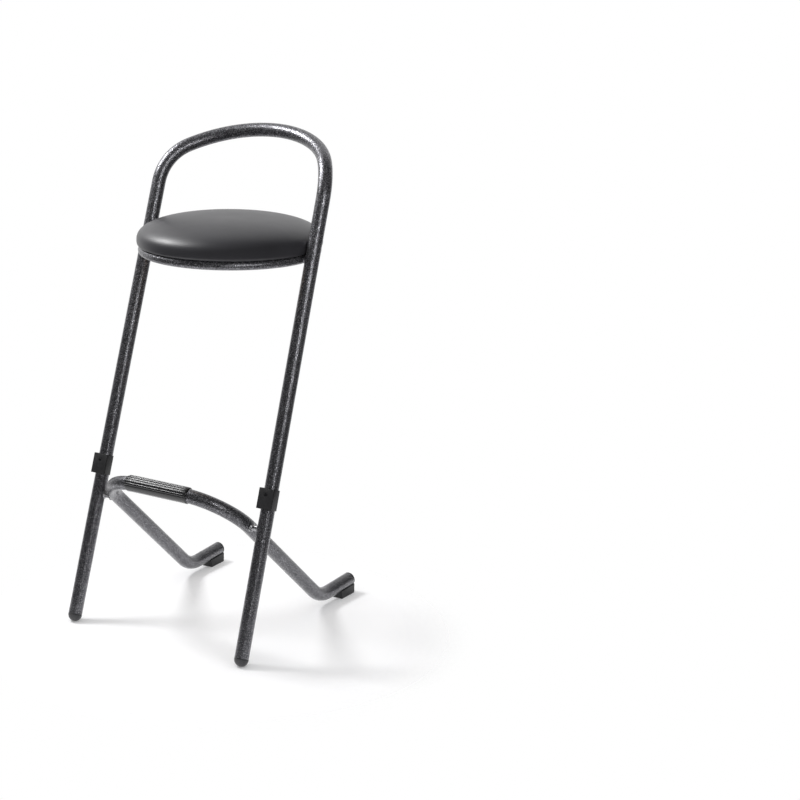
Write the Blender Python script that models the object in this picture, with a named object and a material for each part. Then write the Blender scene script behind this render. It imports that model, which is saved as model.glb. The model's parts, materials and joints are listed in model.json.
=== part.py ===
"""Stackable bar stool with a bent tube frame and a round padded seat.

Metres, +Z up. The front of the stool faces -Y, and the origin lies on the
floor under the middle of the stool's width and depth. Left and right are
those of someone who looks at the front.
"""
from math import acos, atan2, cos, pi, radians, sin, sqrt, tan

import bmesh
import bpy
from mathutils import Matrix, Vector

# Fits
FIT_GAP = 0.0003          # clearance between pieces that touch
CUT_OVERRUN = 0.002       # how far a cut runs past the face it opens

# Frame tube, shared by the front frame and the base frame
TUBE_RADIUS = 0.014
TUBE_WALL = 0.0015
TUBE_SIDES = 16

# Seat ring
RING_HEIGHT = 0.745       # ring axis above the floor
RING_RADIUS = 0.1720      # to the axis of its tube
RING_TUBE_RADIUS = 0.009
RING_TUBE_WALL = 0.0012
RING_TUBE_SIDES = 12
RING_STEPS = 48
RING_SET_BACK = 0.0072    # ring centre behind the legs' axes at its height
RING_WELD_GAP = 0.0005    # ring tube to leg tube
RING_WELD_RADIUS = 0.007
VENT_RADIUS = 0.0025

# Front frame: two straight legs that bend over into the backrest loop
LEG_LEAN_DEG = 18.5       # backward lean from the vertical
LEG_SPREAD = 0.0062       # each foot stands this much wider than the ring
LOOP_RISE = 0.1188        # from the ring's height to the first bend, along the leg
LOOP_BEND_RADIUS = 0.1033
LOOP_BEND_DEG = 56.15
LOOP_BEND_TURN_DEG = 42.7  # the bend leans back, turned about the leg's axis
LOOP_BEND_STEPS = 8
LOOP_CROWN_STEPS = 7

# Base frame: footrest, two sloping arms and two level rear feet
CROWN_SET_BACK = 0.0203   # footrest axis behind the line of the feet
CROWN_HEIGHT = 0.3095
ARM_SLOPE_DEG = 41.05
ARM_SPLAY = 0.018         # sideways run of an arm for each unit of its length
BASE_BEND_RADIUS = 0.1015
BASE_BEND_STEPS = 9
REAR_BEND_RADIUS = 0.082
REAR_BEND_STEPS = 5
REAR_RISE_DEG = 2.5       # the rear ends climb a little towards their plugs
BASE_REACH = 0.4624       # rear tube ends behind the line of the feet

# Joints between the legs and the base frame
SPACER_GAP = 0.0155       # leg tube to base tube
SPACER_RADIUS = 0.0060
SPACER_WELD_RADIUS = 0.0085
SPACER_WELD_RUN = 0.0025
SPACER_SIDES = 16
SPACER_DROP = 0.0055      # stud below the point where the tubes cross in side view

# Leg caps
CAP_LIP = 0.0012
CAP_FLAT_DEPTH = 0.0005   # worn flat where the dome stands on the floor
CAP_DOME_STEPS = 5
PLUG_LENGTH = 0.020
PLUG_FIN_DEPTH = 0.0011
PLUG_FIN_COUNT = 3
PLUG_SIDES = 16

# Rear feet
PAD_THICKNESS = 0.0100    # floor to the underside of the tube, where its last bend ends
PAD_WIDTH = 0.0274
PAD_LENGTH = 0.0480
PAD_NOSE_SLANT = 0.0040
PAD_WRAP = 0.0065         # how far the pad climbs the sides of the tube
PAD_EDGE = 0.0010
FOOT_DISC = 0.0025
PAD_REAR_INSET = 0.0004

# Stacking clips
CLIP_HEIGHT = 0.0400
CLIP_RISE = 0.0348        # clip foot above the joint with the base frame, along the leg
CLIP_WALL = 0.0033
CLIP_FRONT = 0.0032       # material in front of the tube
CLIP_WRAP = 0.0030        # how far the side walls pass the tube's middle
CLIP_EDGE = 0.0012
CLIP_BORE_STEPS = 14
CLIP_SCREW_DROP = 0.0120  # screw below the top of the clip
CLIP_SCREW_HEAD_RADIUS = 0.0034
CLIP_SCREW_HEAD_DEPTH = 0.0020
CLIP_SCREW_RADIUS = 0.0017
CLIP_SCREW_LENGTH = 0.0110
CLIP_SCREW_SINK = 0.0002

# Footrest sleeve
SLEEVE_HALF_LENGTH = 0.071
SLEEVE_SHIFT = -0.003     # the sleeve sits a little to the left
SLEEVE_WALL = 0.0012
SLEEVE_RIB = 0.0010
SLEEVE_RIB_COUNT = 8
SLEEVE_RIB_ARC_DEG = 172
SLEEVE_SMOOTH_STEPS = 8
SLEEVE_RIB_SHARES = (0.0, 0.22, 0.5, 0.72)    # foot, crest, crest, foot of a rib

# Cushion
CUSHION_LEG_GAP = 0.0006  # widest line of the cushion to the legs
CUSHION_RIM_HEIGHT = 0.0210  # widest line above the ring's axis
CUSHION_CROWN = 0.0460    # middle of the top above the widest line
CUSHION_TUCK = 0.0045     # how far the side draws in under the widest line
CUSHION_SIDE_POWER = 2.5
CUSHION_CROWN_POWER = 2.1
CUSHION_CROWN_STEPS = 8
CUSHION_TUCK_STEPS = 3
CUSHION_STEPS = 36
COVER_THICKNESS = 0.0012
COVER_REST = 0.00015      # hem above the top line of the ring
HEM_WIDTH = 0.0245
BOARD_THICKNESS = 0.0120
BOARD_INSET = 0.0080      # board's edge inside the cushion's bottom edge

# Seat fixing
TAB_COUNT = 4
TAB_FIRST_DEG = 45
TAB_WIDTH = 0.0220
TAB_THICKNESS = 0.0030
TAB_LENGTH = 0.0390       # from the ring's centre line inwards
TAB_HOLE_INSET = 0.0270   # ring's centre line to a screw
TAB_CORNER = 0.0040
SCREW_RADIUS = 0.0030
SCREW_LENGTH = 0.0175
SCREW_HEAD_RADIUS = 0.0055
SCREW_HEAD_HEIGHT = 0.0036
SCREW_SIDES = 12
SOCKET_RADIUS = 0.0022
SOCKET_DEPTH = 0.0020
WASHER_RADIUS = 0.0062
WASHER_THICKNESS = 0.0012
NUT_FLANGE_RADIUS = 0.0095
NUT_FLANGE_THICKNESS = 0.0012
NUT_WALL = 0.0010
NUT_BARREL = 0.0085
STAPLE_COUNT = 16
STAPLE_CROWN = 0.0100
STAPLE_WIRE = 0.0009
STAPLE_LEG = 0.0080
STAPLE_INSET = 0.0080     # staple line inside the board's edge

SMOOTH_DEG = 35
SIDES = {"left": -1, "right": 1}
X_AXIS = Vector((1, 0, 0))
Y_AXIS = Vector((0, 1, 0))
Z_AXIS = Vector((0, 0, 1))

# Places that follow from the sizes above
LEG_LEAN = radians(LEG_LEAN_DEG)
ARM_SLOPE = radians(ARM_SLOPE_DEG)
REAR_RISE = radians(REAR_RISE_DEG)
TUBE_BORE = TUBE_RADIUS - TUBE_WALL
RING_FRONT_TO_BACK = RING_HEIGHT * tan(LEG_LEAN) + RING_SET_BACK
RING_CENTRE = Vector((0, RING_FRONT_TO_BACK, RING_HEIGHT))
RING_TOP = RING_HEIGHT + RING_TUBE_RADIUS
PLUG_RADIUS = TUBE_BORE * cos(pi / TUBE_SIDES) - FIT_GAP
REAR_AXIS_HEIGHT = PAD_THICKNESS + TUBE_RADIUS
HEM_BOTTOM = RING_TOP + COVER_REST
BOARD_BOTTOM = HEM_BOTTOM + COVER_THICKNESS + FIT_GAP
BOARD_TOP = BOARD_BOTTOM + BOARD_THICKNESS
RING_SIDE = sqrt(RING_RADIUS ** 2 - RING_SET_BACK ** 2)
LEG_AT_RING = RING_SIDE + RING_TUBE_RADIUS + RING_WELD_GAP + TUBE_RADIUS
RIM_HEIGHT = RING_HEIGHT + CUSHION_RIM_HEIGHT
LEG_AT_RIM = LEG_AT_RING - LEG_SPREAD * CUSHION_RIM_HEIGHT / RING_HEIGHT
CUSHION_RADIUS = LEG_AT_RIM - TUBE_RADIUS - CUSHION_LEG_GAP
HEM_OUTER_RADIUS = CUSHION_RADIUS - CUSHION_TUCK
BOARD_RADIUS = HEM_OUTER_RADIUS - BOARD_INSET
TAB_INNER_RADIUS = RING_RADIUS - TAB_LENGTH
TAB_HOLE_RADIUS = RING_RADIUS - TAB_HOLE_INSET
TAB_TOP = HEM_BOTTOM - FIT_GAP
NUT_RECESS = NUT_FLANGE_THICKNESS + FIT_GAP
NUT_BORE = SCREW_RADIUS + FIT_GAP


def clear_scene():
    for item in list(bpy.data.objects):
        bpy.data.objects.remove(item, do_unlink=True)


def material(name, colour, roughness, metallic=0.0):
    made = bpy.data.materials.new(name)
    made.use_nodes = True
    shader = made.node_tree.nodes["Principled BSDF"]
    shader.inputs["Base Color"].default_value = (*colour, 1.0)
    shader.inputs["Roughness"].default_value = roughness
    shader.inputs["Metallic"].default_value = metallic
    return made


def make_object(name, mesh_builder, parent, looks, place=None, flipped=()):
    """Turn a bmesh into a named, shaded object under the stool's origin."""
    bmesh.ops.recalc_face_normals(mesh_builder, faces=mesh_builder.faces)
    if flipped:
        bmesh.ops.reverse_faces(mesh_builder, faces=flipped)
    mesh = bpy.data.meshes.new(name)
    mesh_builder.to_mesh(mesh)
    mesh_builder.free()
    mesh.materials.append(looks)
    mesh.shade_smooth()
    mesh.set_sharp_from_angle(angle=radians(SMOOTH_DEG))
    made = bpy.data.objects.new(name, mesh)
    bpy.context.collection.objects.link(made)
    made.parent = parent
    if place is not None:
        made.matrix_local = place
    return made


def make_cutter(name, mesh_builder, parent, looks, place=None):
    made = make_object(name, mesh_builder, parent, looks, place)
    made.hide_render = True
    made.display_type = "WIRE"
    return made


def combine(target, other, operation):
    step = target.modifiers.new(operation.lower() + "_" + other.name, "BOOLEAN")
    step.operation = operation
    step.solver = "EXACT"
    step.object = other


def axis_frame(origin, axis, side):
    """Matrix at origin with +Z along axis and +X as near to side as it can be."""
    up = axis.normalized()
    back = up.cross(side).normalized()
    across = back.cross(up)
    placed = Matrix((across, back, up)).transposed().to_4x4()
    placed.translation = origin
    return placed


def circle(radius, sides):
    return [(radius * cos(2 * pi * k / sides), radius * sin(2 * pi * k / sides)) for k in range(sides)]


def outer_polygon(radius, sides):
    """Radius of the polygon whose flats clear a circle of the given radius."""
    return radius / cos(pi / sides)


def add_skin(builder, rings, closed=False):
    """Faces between rings of points, each ring joined to the next."""
    made = [[builder.verts.new(point) for point in ring] for ring in rings]
    following = made[1:] + (made[:1] if closed else [])
    for ring, other in zip(made, following):
        for k in range(len(ring)):
            after = (k + 1) % len(ring)
            builder.faces.new((ring[k], ring[after], other[after], other[k]))
    return made


def turned(builder, outline, sides, place=Matrix(), closed=False):
    """Turn an outline of (radius, height) round the local Z axis.

    A chain starts and ends on the axis. A closed outline keeps off it.
    """
    rings = []
    for radius, height in outline:
        if radius == 0:
            rings.append([builder.verts.new(place @ Vector((0, 0, height)))])
        else:
            around = [place @ Vector((x, y, height)) for x, y in circle(radius, sides)]
            rings.append([builder.verts.new(point) for point in around])
    following = rings[1:] + (rings[:1] if closed else [])
    for ring, other in zip(rings, following):
        for k in range(sides):
            corners = [ring[k % len(ring)], ring[(k + 1) % len(ring)],
                       other[(k + 1) % len(other)], other[k % len(other)]]
            builder.faces.new(list(dict.fromkeys(corners)))


def prism(builder, outline, low, high, place=Matrix()):
    """Extrude a flat outline of (x, y) from low to high along local Z."""
    rings = [[place @ Vector((x, y, z)) for x, y in outline] for z in (low, high)]
    bottom, top = add_skin(builder, rings)
    builder.faces.new(bottom)
    builder.faces.new(top)


def add_bend(points, direction, toward, radius, angle, steps):
    """Carry a path round an arc. Gives the direction in which it leaves."""
    start = points[-1].copy()
    for k in range(1, steps + 1):
        turn = angle * k / steps
        points.append(start + direction * radius * sin(turn) + toward * radius * (1 - cos(turn)))
    return direction * cos(angle) + toward * sin(angle)


def bend_between(direction, new_direction):
    """Angle from one direction to another, and the side that the bend turns to."""
    angle = acos(max(-1, min(1, direction.dot(new_direction))))
    toward = (new_direction - direction * direction.dot(new_direction)).normalized()
    return angle, toward


def leg_direction():
    """Direction of the right leg, from its foot upwards."""
    at_ring = leg_point_at_height(RING_HEIGHT)
    return (at_ring - leg_point_at_height(0)).normalized()


def leg_point_at_height(height):
    """Point on the axis of the right leg."""
    across = LEG_AT_RING + LEG_SPREAD * (1 - height / RING_HEIGHT)
    return Vector((across, height * tan(LEG_LEAN), height))


def leg_point(station):
    """Point on the axis of the right leg, measured along it from the floor."""
    return leg_point_at_height(0) + leg_direction() * station


def mirrored(vector):
    return Vector((-vector.x, vector.y, vector.z))


def whole_path(half, normal):
    """Frames (point, normal, binormal) of a tube that both sides mirror.

    half runs from the middle of the stool to the right end, and leaves the
    middle square to it. The normals are carried along without twist.
    """
    frames = []
    for k, point in enumerate(half):
        if k == 0:
            tangent = X_AXIS
        elif k == len(half) - 1:
            tangent = (point - half[k - 1]).normalized()
        else:
            tangent = ((point - half[k - 1]).normalized() + (half[k + 1] - point).normalized()).normalized()
        normal = (normal - tangent * tangent.dot(normal)).normalized()
        frames.append((point, normal, tangent.cross(normal)))
    left = [tuple(mirrored(vector) for vector in frame) for frame in frames[:0:-1]]
    return left + frames


def rings_along(frames, section):
    return [[point + normal * u + binormal * v for u, v in section] for point, normal, binormal in frames]


def tube_mesh(frames, outer, inner):
    """Hollow tube, open at both ends."""
    builder = bmesh.new()
    outside = add_skin(builder, rings_along(frames, outer))
    inside = add_skin(builder, rings_along(frames, inner))
    for end in (0, -1):
        for k in range(len(outer)):
            after = (k + 1) % len(outer)
            builder.faces.new((outside[end][k], outside[end][after], inside[end][after], inside[end][k]))
    return builder


def rod_mesh(frames, section):
    """Solid rod along a path."""
    builder = bmesh.new()
    skin = add_skin(builder, rings_along(frames, section))
    builder.faces.new(skin[0])
    builder.faces.new(skin[-1])
    return builder


def lengthened(frames, extra):
    """The same path with both of its straight ends made longer."""
    first, last = frames[0], frames[-1]
    out_first = (first[0] - frames[1][0]).normalized()
    out_last = (last[0] - frames[-2][0]).normalized()
    new_first = (first[0] + out_first * extra, first[1], first[2])
    new_last = (last[0] + out_last * extra, last[1], last[2])
    return [new_first] + frames[1:-1] + [new_last]


def stretch_of(frames, start, end):
    """The part of a path between two stations, counted from its middle."""
    middle = len(frames) // 2
    stations = [0.0]
    for frame, after in zip(frames, frames[1:]):
        stations.append(stations[-1] + (after[0] - frame[0]).length)
    zero = stations[middle]
    stations = [station - zero for station in stations]
    kept = [frame for frame, station in zip(frames, stations) if start < station < end]
    return [frame_at(frames, stations, start)] + kept + [frame_at(frames, stations, end)]


def frame_at(frames, stations, station):
    for k in range(len(frames) - 1):
        if stations[k] <= station <= stations[k + 1]:
            share = (station - stations[k]) / (stations[k + 1] - stations[k])
            point, normal, binormal = (a.lerp(b, share) for a, b in zip(frames[k], frames[k + 1]))
            return point, normal.normalized(), binormal.normalized()
    return frames[0] if station < stations[0] else frames[-1]


def cap_centre_station():
    """Station of the centre of a leg cap's dome, along the leg."""
    return (TUBE_RADIUS - CAP_FLAT_DEPTH) / leg_direction().z


def front_path():
    """Backrest loop and legs, from the middle of the loop to the right foot."""
    up = leg_direction()
    tube_end = cap_centre_station() + CAP_LIP + FIT_GAP
    bend_start = RING_HEIGHT / up.z + LOOP_RISE
    points = [leg_point(tube_end), leg_point(bend_start)]
    inward = -(X_AXIS - up * up.x).normalized()
    back = inward.cross(up)
    turn = radians(LOOP_BEND_TURN_DEG)
    toward = inward * cos(turn) + back * sin(turn)
    leaving = add_bend(points, up, toward, LOOP_BEND_RADIUS, radians(LOOP_BEND_DEG), LOOP_BEND_STEPS)
    angle, toward = bend_between(leaving, -X_AXIS)
    crown_radius = -points[-1].x / (sin(angle) * leaving.x + (1 - cos(angle)) * toward.x)
    add_bend(points, leaving, toward, crown_radius, angle, LOOP_CROWN_STEPS)
    points[-1].x = 0
    points.reverse()
    return whole_path(points, Z_AXIS)


def arm_direction():
    sloping = Vector((ARM_SPLAY, cos(ARM_SLOPE), -sin(ARM_SLOPE)))
    return sloping.normalized()


def joint_place():
    """Side view crossing of the legs and the base frame's bends.

    Gives its distance back from the footrest along the base frame's slope,
    and its point on the leg's axis.
    """
    slope = Vector((cos(ARM_SLOPE), -sin(ARM_SLOPE)))
    lean = Vector((sin(LEG_LEAN), cos(LEG_LEAN)))
    crown = Vector((CROWN_SET_BACK, CROWN_HEIGHT))
    run = (lean.x * crown.y - lean.y * crown.x) / (lean.y * slope.x - lean.x * slope.y)
    return run, leg_point_at_height(CROWN_HEIGHT + run * slope.y)


def base_half_width():
    """Half the footrest's straight length, set by the gap at the leg joints."""
    run, on_leg = joint_place()
    turned_by = acos(max(-1, 1 - run / BASE_BEND_RADIUS))
    at_joint = on_leg.x - 2 * TUBE_RADIUS - SPACER_GAP
    return at_joint - BASE_BEND_RADIUS * sin(turned_by)


def base_path():
    """Footrest, arm and rear foot, from the middle to the right rear end."""
    crown = Vector((0, CROWN_SET_BACK, CROWN_HEIGHT))
    points = [crown, crown + X_AXIS * base_half_width()]
    arm = arm_direction()
    angle, toward = bend_between(X_AXIS, arm)
    add_bend(points, X_AXIS, toward, BASE_BEND_RADIUS, angle, BASE_BEND_STEPS)
    rising = Vector((arm.x, sqrt(cos(REAR_RISE) ** 2 - arm.x ** 2), sin(REAR_RISE)))
    angle, toward = bend_between(arm, rising)
    bend_drop = REAR_BEND_RADIUS * (-arm.z * sin(angle) - toward.z * (1 - cos(angle)))
    arm_length = (points[-1].z - REAR_AXIS_HEIGHT - bend_drop) / -arm.z
    points.append(points[-1] + arm * arm_length)
    add_bend(points, arm, toward, REAR_BEND_RADIUS, angle, REAR_BEND_STEPS)
    end_length = (BASE_REACH - points[-1].y) / rising.y
    points.append(points[-1] + rising * end_length)
    return whole_path(points, Z_AXIS)


def ring_frames():
    frames = []
    for k in range(RING_STEPS):
        angle = 2 * pi * k / RING_STEPS
        outward = Vector((cos(angle), sin(angle), 0))
        frames.append((RING_CENTRE + outward * RING_RADIUS, outward, Z_AXIS))
    return frames


def around_ring(angle, radius, height):
    return Vector((radius * cos(angle), RING_CENTRE.y + radius * sin(angle), height))


def tab_angles():
    return [radians(TAB_FIRST_DEG) + 2 * pi * k / TAB_COUNT for k in range(TAB_COUNT)]


def build_front_frame(root, looks, frames):
    outer = circle(TUBE_RADIUS, TUBE_SIDES)
    inner = circle(TUBE_BORE, TUBE_SIDES)
    return make_object("front_frame", tube_mesh(frames, outer, inner), root, looks["frame"])


def build_base_frame(root, looks, frames):
    outer = circle(TUBE_RADIUS, TUBE_SIDES)
    inner = circle(TUBE_BORE, TUBE_SIDES)
    make_object("base_frame", tube_mesh(frames, outer, inner), root, looks["frame"])


def build_seat_ring(root, looks):
    """Hollow ring with a small vent hole under its back."""
    builder = bmesh.new()
    outer = circle(RING_TUBE_RADIUS, RING_TUBE_SIDES)
    inner = circle(RING_TUBE_RADIUS - RING_TUBE_WALL, RING_TUBE_SIDES)
    add_skin(builder, rings_along(ring_frames(), outer), closed=True)
    solid_faces = set(builder.faces)
    add_skin(builder, rings_along(ring_frames(), inner), closed=True)
    hollow = [face for face in builder.faces if face not in solid_faces]
    ring = make_object("seat_ring", builder, root, looks["frame"], flipped=hollow)
    vent = bmesh.new()
    place = Matrix.Translation(around_ring(pi / 2, RING_RADIUS, RING_HEIGHT))
    prism(vent, circle(VENT_RADIUS, SCREW_SIDES), -RING_TUBE_RADIUS - CUT_OVERRUN, 0, place)
    combine(ring, make_cutter("cutter_vent", vent, root, looks["frame"]), "DIFFERENCE")


def build_ring_cutter(root, looks):
    builder = bmesh.new()
    section = circle(RING_TUBE_RADIUS + FIT_GAP, RING_TUBE_SIDES)
    add_skin(builder, rings_along(ring_frames(), section), closed=True)
    return make_cutter("cutter_ring", builder, root, looks["frame"])


def build_ring_welds(root, looks, front_cutter, ring_cutter):
    """Weld metal that fills the cusps between the ring and each leg."""
    on_leg = leg_point_at_height(RING_HEIGHT)
    reach = (on_leg.x - RING_SIDE) / 2
    for name, side in SIDES.items():
        middle = Vector((side * (on_leg.x + RING_SIDE) / 2, on_leg.y, on_leg.z))
        builder = bmesh.new()
        prism(builder, circle(RING_WELD_RADIUS, SPACER_SIDES), -reach, reach)
        place = axis_frame(middle, X_AXIS, Z_AXIS)
        weld = make_object("ring_weld_" + name, builder, root, looks["frame"], place)
        combine(weld, front_cutter, "DIFFERENCE")
        combine(weld, ring_cutter, "DIFFERENCE")


def build_joint_spacers(root, looks, front_cutter, base_cutter):
    """Short steel studs, welded between each leg and the base frame."""
    on_leg = joint_place()[1]
    on_base = on_leg.x - 2 * TUBE_RADIUS - SPACER_GAP
    reach = (on_leg.x - on_base) / 2
    weld_start = SPACER_GAP / 2 - SPACER_WELD_RUN
    outline = [(0, -reach), (SPACER_WELD_RADIUS, -reach), (SPACER_WELD_RADIUS, -SPACER_GAP / 2),
               (SPACER_RADIUS, -weld_start), (SPACER_RADIUS, weld_start),
               (SPACER_WELD_RADIUS, SPACER_GAP / 2), (SPACER_WELD_RADIUS, reach), (0, reach)]
    for name, side in SIDES.items():
        builder = bmesh.new()
        turned(builder, outline, SPACER_SIDES)
        back = SPACER_DROP * (1 / tan(ARM_SLOPE) - tan(LEG_LEAN)) / 2
        middle = Vector((side * (on_leg.x + on_base) / 2, on_leg.y + back, on_leg.z - SPACER_DROP))
        place = axis_frame(middle, X_AXIS, Z_AXIS)
        spacer = make_object("joint_spacer_" + name, builder, root, looks["stud"], place)
        combine(spacer, front_cutter, "DIFFERENCE")
        combine(spacer, base_cutter, "DIFFERENCE")


def plug_outline(start):
    """Finned shank that grips inside a tube, from its root to its tip."""
    pitch = PLUG_LENGTH / PLUG_FIN_COUNT
    outline = []
    for k in range(PLUG_FIN_COUNT):
        root_height = start + k * pitch
        outline.append((PLUG_RADIUS - PLUG_FIN_DEPTH, root_height))
        outline.append((PLUG_RADIUS, root_height + pitch / 2))
    outline.append((PLUG_RADIUS - PLUG_FIN_DEPTH, start + PLUG_LENGTH))
    outline.append((0, start + PLUG_LENGTH))
    return outline


def build_leg_caps(root, looks):
    """Domed plugs in the leg ends, each with a small flat on the floor."""
    outline = [(0, -TUBE_RADIUS)]
    for k in range(1, CAP_DOME_STEPS + 1):
        angle = pi / 2 * k / CAP_DOME_STEPS
        outline.append((TUBE_RADIUS * sin(angle), -TUBE_RADIUS * cos(angle)))
    outline.append((TUBE_RADIUS, CAP_LIP))
    outline += plug_outline(CAP_LIP)
    for name, side in SIDES.items():
        axis = leg_direction()
        centre = leg_point(cap_centre_station())
        if side < 0:
            axis, centre = mirrored(axis), mirrored(centre)
        place = axis_frame(centre, axis, X_AXIS)
        builder = bmesh.new()
        turned(builder, outline, PLUG_SIDES)
        to_local = place.inverted()
        floor_normal = (to_local.to_3x3() @ -Z_AXIS).normalized()
        everything = builder.verts[:] + builder.edges[:] + builder.faces[:]
        bmesh.ops.bisect_plane(builder, geom=everything, plane_co=to_local @ Vector((0, 0, 0)),
                               plane_no=floor_normal, clear_outer=True)
        open_edges = [edge for edge in builder.edges if edge.is_boundary]
        bmesh.ops.contextual_create(builder, geom=open_edges)
        make_object("leg_cap_" + name, builder, root, looks["plastic"], place)


def build_rear_feet(root, looks, frames, base_cutter):
    """End plugs of the base frame, each moulded with the pad it stands on."""
    rear = FIT_GAP + FOOT_DISC - PAD_REAR_INSET
    nose = rear - PAD_LENGTH
    tip = nose - PAD_NOSE_SLANT
    for name, side in SIDES.items():
        end, before = (frames[0], frames[1]) if side < 0 else (frames[-1], frames[-2])
        outward = (end[0] - before[0]).normalized()
        floor, climb = -end[0].z, tan(REAR_RISE)
        side_view = [(rear, floor), (nose, floor), (tip, PAD_WRAP - TUBE_RADIUS + tip * climb),
                     (rear, PAD_WRAP - TUBE_RADIUS + rear * climb)]
        place = axis_frame(end[0], outward, X_AXIS)
        builder = bmesh.new()
        outline = [(0, FIT_GAP + FOOT_DISC), (TUBE_RADIUS, FIT_GAP + FOOT_DISC), (TUBE_RADIUS, FIT_GAP)]
        outline += [(radius, -height) for radius, height in plug_outline(-FIT_GAP)]
        turned(builder, outline, PLUG_SIDES)
        foot = make_object("rear_foot_" + name, builder, root, looks["plastic"], place)
        pad_mesh = bmesh.new()
        along = Vector((outward.x, outward.y, 0)).normalized()
        level = Matrix((along.cross(Z_AXIS), along, Z_AXIS)).transposed().to_4x4()
        level.translation = end[0]
        rings = [[level @ Vector((x, y, z)) for y, z in side_view] for x in (-PAD_WIDTH / 2, PAD_WIDTH / 2)]
        near, far = add_skin(pad_mesh, rings)
        pad_mesh.faces.new(near)
        pad_mesh.faces.new(far)
        upright = [edge for edge in pad_mesh.edges if abs(edge.verts[0].co.z - edge.verts[1].co.z) > PAD_EDGE]
        bmesh.ops.bevel(pad_mesh, geom=upright, offset=PAD_EDGE, segments=1, affect="EDGES")
        pad = make_cutter("guide_pad_" + name, pad_mesh, root, looks["plastic"])
        combine(pad, base_cutter, "DIFFERENCE")
        combine(foot, pad, "UNION")


def clip_outline():
    """C-shaped section of a clip: flat front and sides round the tube's front."""
    half = TUBE_RADIUS + CLIP_WALL
    front = -(TUBE_RADIUS + CLIP_FRONT)
    bore = outer_polygon(TUBE_RADIUS + FIT_GAP, 2 * CLIP_BORE_STEPS)
    outline = [(half, CLIP_WRAP), (half, front + CLIP_EDGE), (half - CLIP_EDGE, front),
               (CLIP_EDGE - half, front), (-half, front + CLIP_EDGE), (-half, CLIP_WRAP)]
    opening = atan2(CLIP_WRAP, bore)
    for k in range(CLIP_BORE_STEPS + 1):
        angle = pi - opening + (pi + 2 * opening) * k / CLIP_BORE_STEPS
        outline.append((bore * cos(angle), bore * sin(angle)))
    return outline


def clip_screw_outline(clearance):
    """Countersunk screw, head up, its top at the front face of the clip."""
    head = CLIP_SCREW_HEAD_RADIUS + clearance
    shank = CLIP_SCREW_RADIUS + clearance
    depth = CLIP_SCREW_HEAD_DEPTH + clearance
    return head, shank, depth


def socket_screw(builder, rings, sides):
    """Screw with a six-sided socket. rings are (radius, height, is_socket)."""
    made = []
    for radius, height, is_socket in rings:
        if radius == 0:
            made.append([builder.verts.new((0, 0, height))])
            continue
        ring = []
        for k, (x, y) in enumerate(circle(radius, sides)):
            share = cos(pi / 6) if is_socket and k % 2 else 1
            ring.append(builder.verts.new((x * share, y * share, height)))
        made.append(ring)
    for ring, other in zip(made, made[1:]):
        for k in range(sides):
            corners = [ring[k % len(ring)], ring[(k + 1) % len(ring)],
                       other[(k + 1) % len(other)], other[k % len(other)]]
            builder.faces.new(list(dict.fromkeys(corners)))


def build_stacking_clips(root, looks, front_frame):
    """Moulded clips on the front of the legs, each held by one screw."""
    station = joint_place()[1].z / leg_direction().z + CLIP_RISE
    for name, side in SIDES.items():
        axis, foot = leg_direction(), leg_point(station)
        if side < 0:
            axis, foot = mirrored(axis), mirrored(foot)
        place = axis_frame(foot, axis, X_AXIS)
        builder = bmesh.new()
        prism(builder, clip_outline(), 0, CLIP_HEIGHT)
        clip = make_object("stacking_clip_" + name, builder, root, looks["plastic"], place)
        front = -(TUBE_RADIUS + CLIP_FRONT) + CLIP_SCREW_SINK
        screw_point = place @ Vector((0, front, CLIP_HEIGHT - CLIP_SCREW_DROP))
        outward = place.to_3x3() @ -Y_AXIS
        screw_place = axis_frame(screw_point, outward, X_AXIS)
        hole = bmesh.new()
        head, shank, depth = clip_screw_outline(FIT_GAP)
        run = CLIP_SCREW_LENGTH + CUT_OVERRUN
        outline = [(0, CUT_OVERRUN), (head, CUT_OVERRUN), (head, 0),
                   (shank, -depth), (shank, -run), (0, -run)]
        turned(hole, outline, SCREW_SIDES)
        cutter = make_cutter("cutter_clip_screw_" + name, hole, root, looks["stud"], screw_place)
        combine(clip, cutter, "DIFFERENCE")
        combine(front_frame, cutter, "DIFFERENCE")
        screw = bmesh.new()
        head, shank, depth = clip_screw_outline(0)
        socket = head / 2
        rings = [(0, -socket, True), (socket, -socket, True), (socket, 0, True), (head, 0, False),
                 (shank, -depth, False), (shank, shank - CLIP_SCREW_LENGTH, False),
                 (0, -CLIP_SCREW_LENGTH, False)]
        socket_screw(screw, rings, SCREW_SIDES)
        make_object("clip_screw_" + name, screw, root, looks["black_steel"], screw_place)


def sleeve_section():
    """Outer and inner points of the sleeve: ribbed above, smooth below."""
    valley = TUBE_RADIUS + FIT_GAP + SLEEVE_WALL
    crest = valley + SLEEVE_RIB
    ribbed = radians(SLEEVE_RIB_ARC_DEG)
    polar = []
    for rib in range(SLEEVE_RIB_COUNT):
        for k, share in enumerate(SLEEVE_RIB_SHARES):
            angle = ribbed * ((rib + share) / SLEEVE_RIB_COUNT - 0.5)
            polar.append((crest if k in (1, 2) else valley, angle))
    for k in range(SLEEVE_SMOOTH_STEPS + 1):
        angle = ribbed / 2 + (2 * pi - ribbed) * k / (SLEEVE_SMOOTH_STEPS + 1)
        polar.append((valley, angle))
    bore = outer_polygon(TUBE_RADIUS + FIT_GAP, 2 * SLEEVE_SMOOTH_STEPS)
    outer = [(radius * cos(angle), radius * sin(angle)) for radius, angle in polar]
    inner = [(bore * cos(angle), bore * sin(angle)) for radius, angle in polar]
    return outer, inner


def build_footrest_sleeve(root, looks, frames):
    """Ribbed sleeve on the footrest, which follows the tube's bends."""
    part = stretch_of(frames, SLEEVE_SHIFT - SLEEVE_HALF_LENGTH, SLEEVE_SHIFT + SLEEVE_HALF_LENGTH)
    outer, inner = sleeve_section()
    make_object("footrest_sleeve", tube_mesh(part, outer, inner), root, looks["sleeve"])


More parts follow.
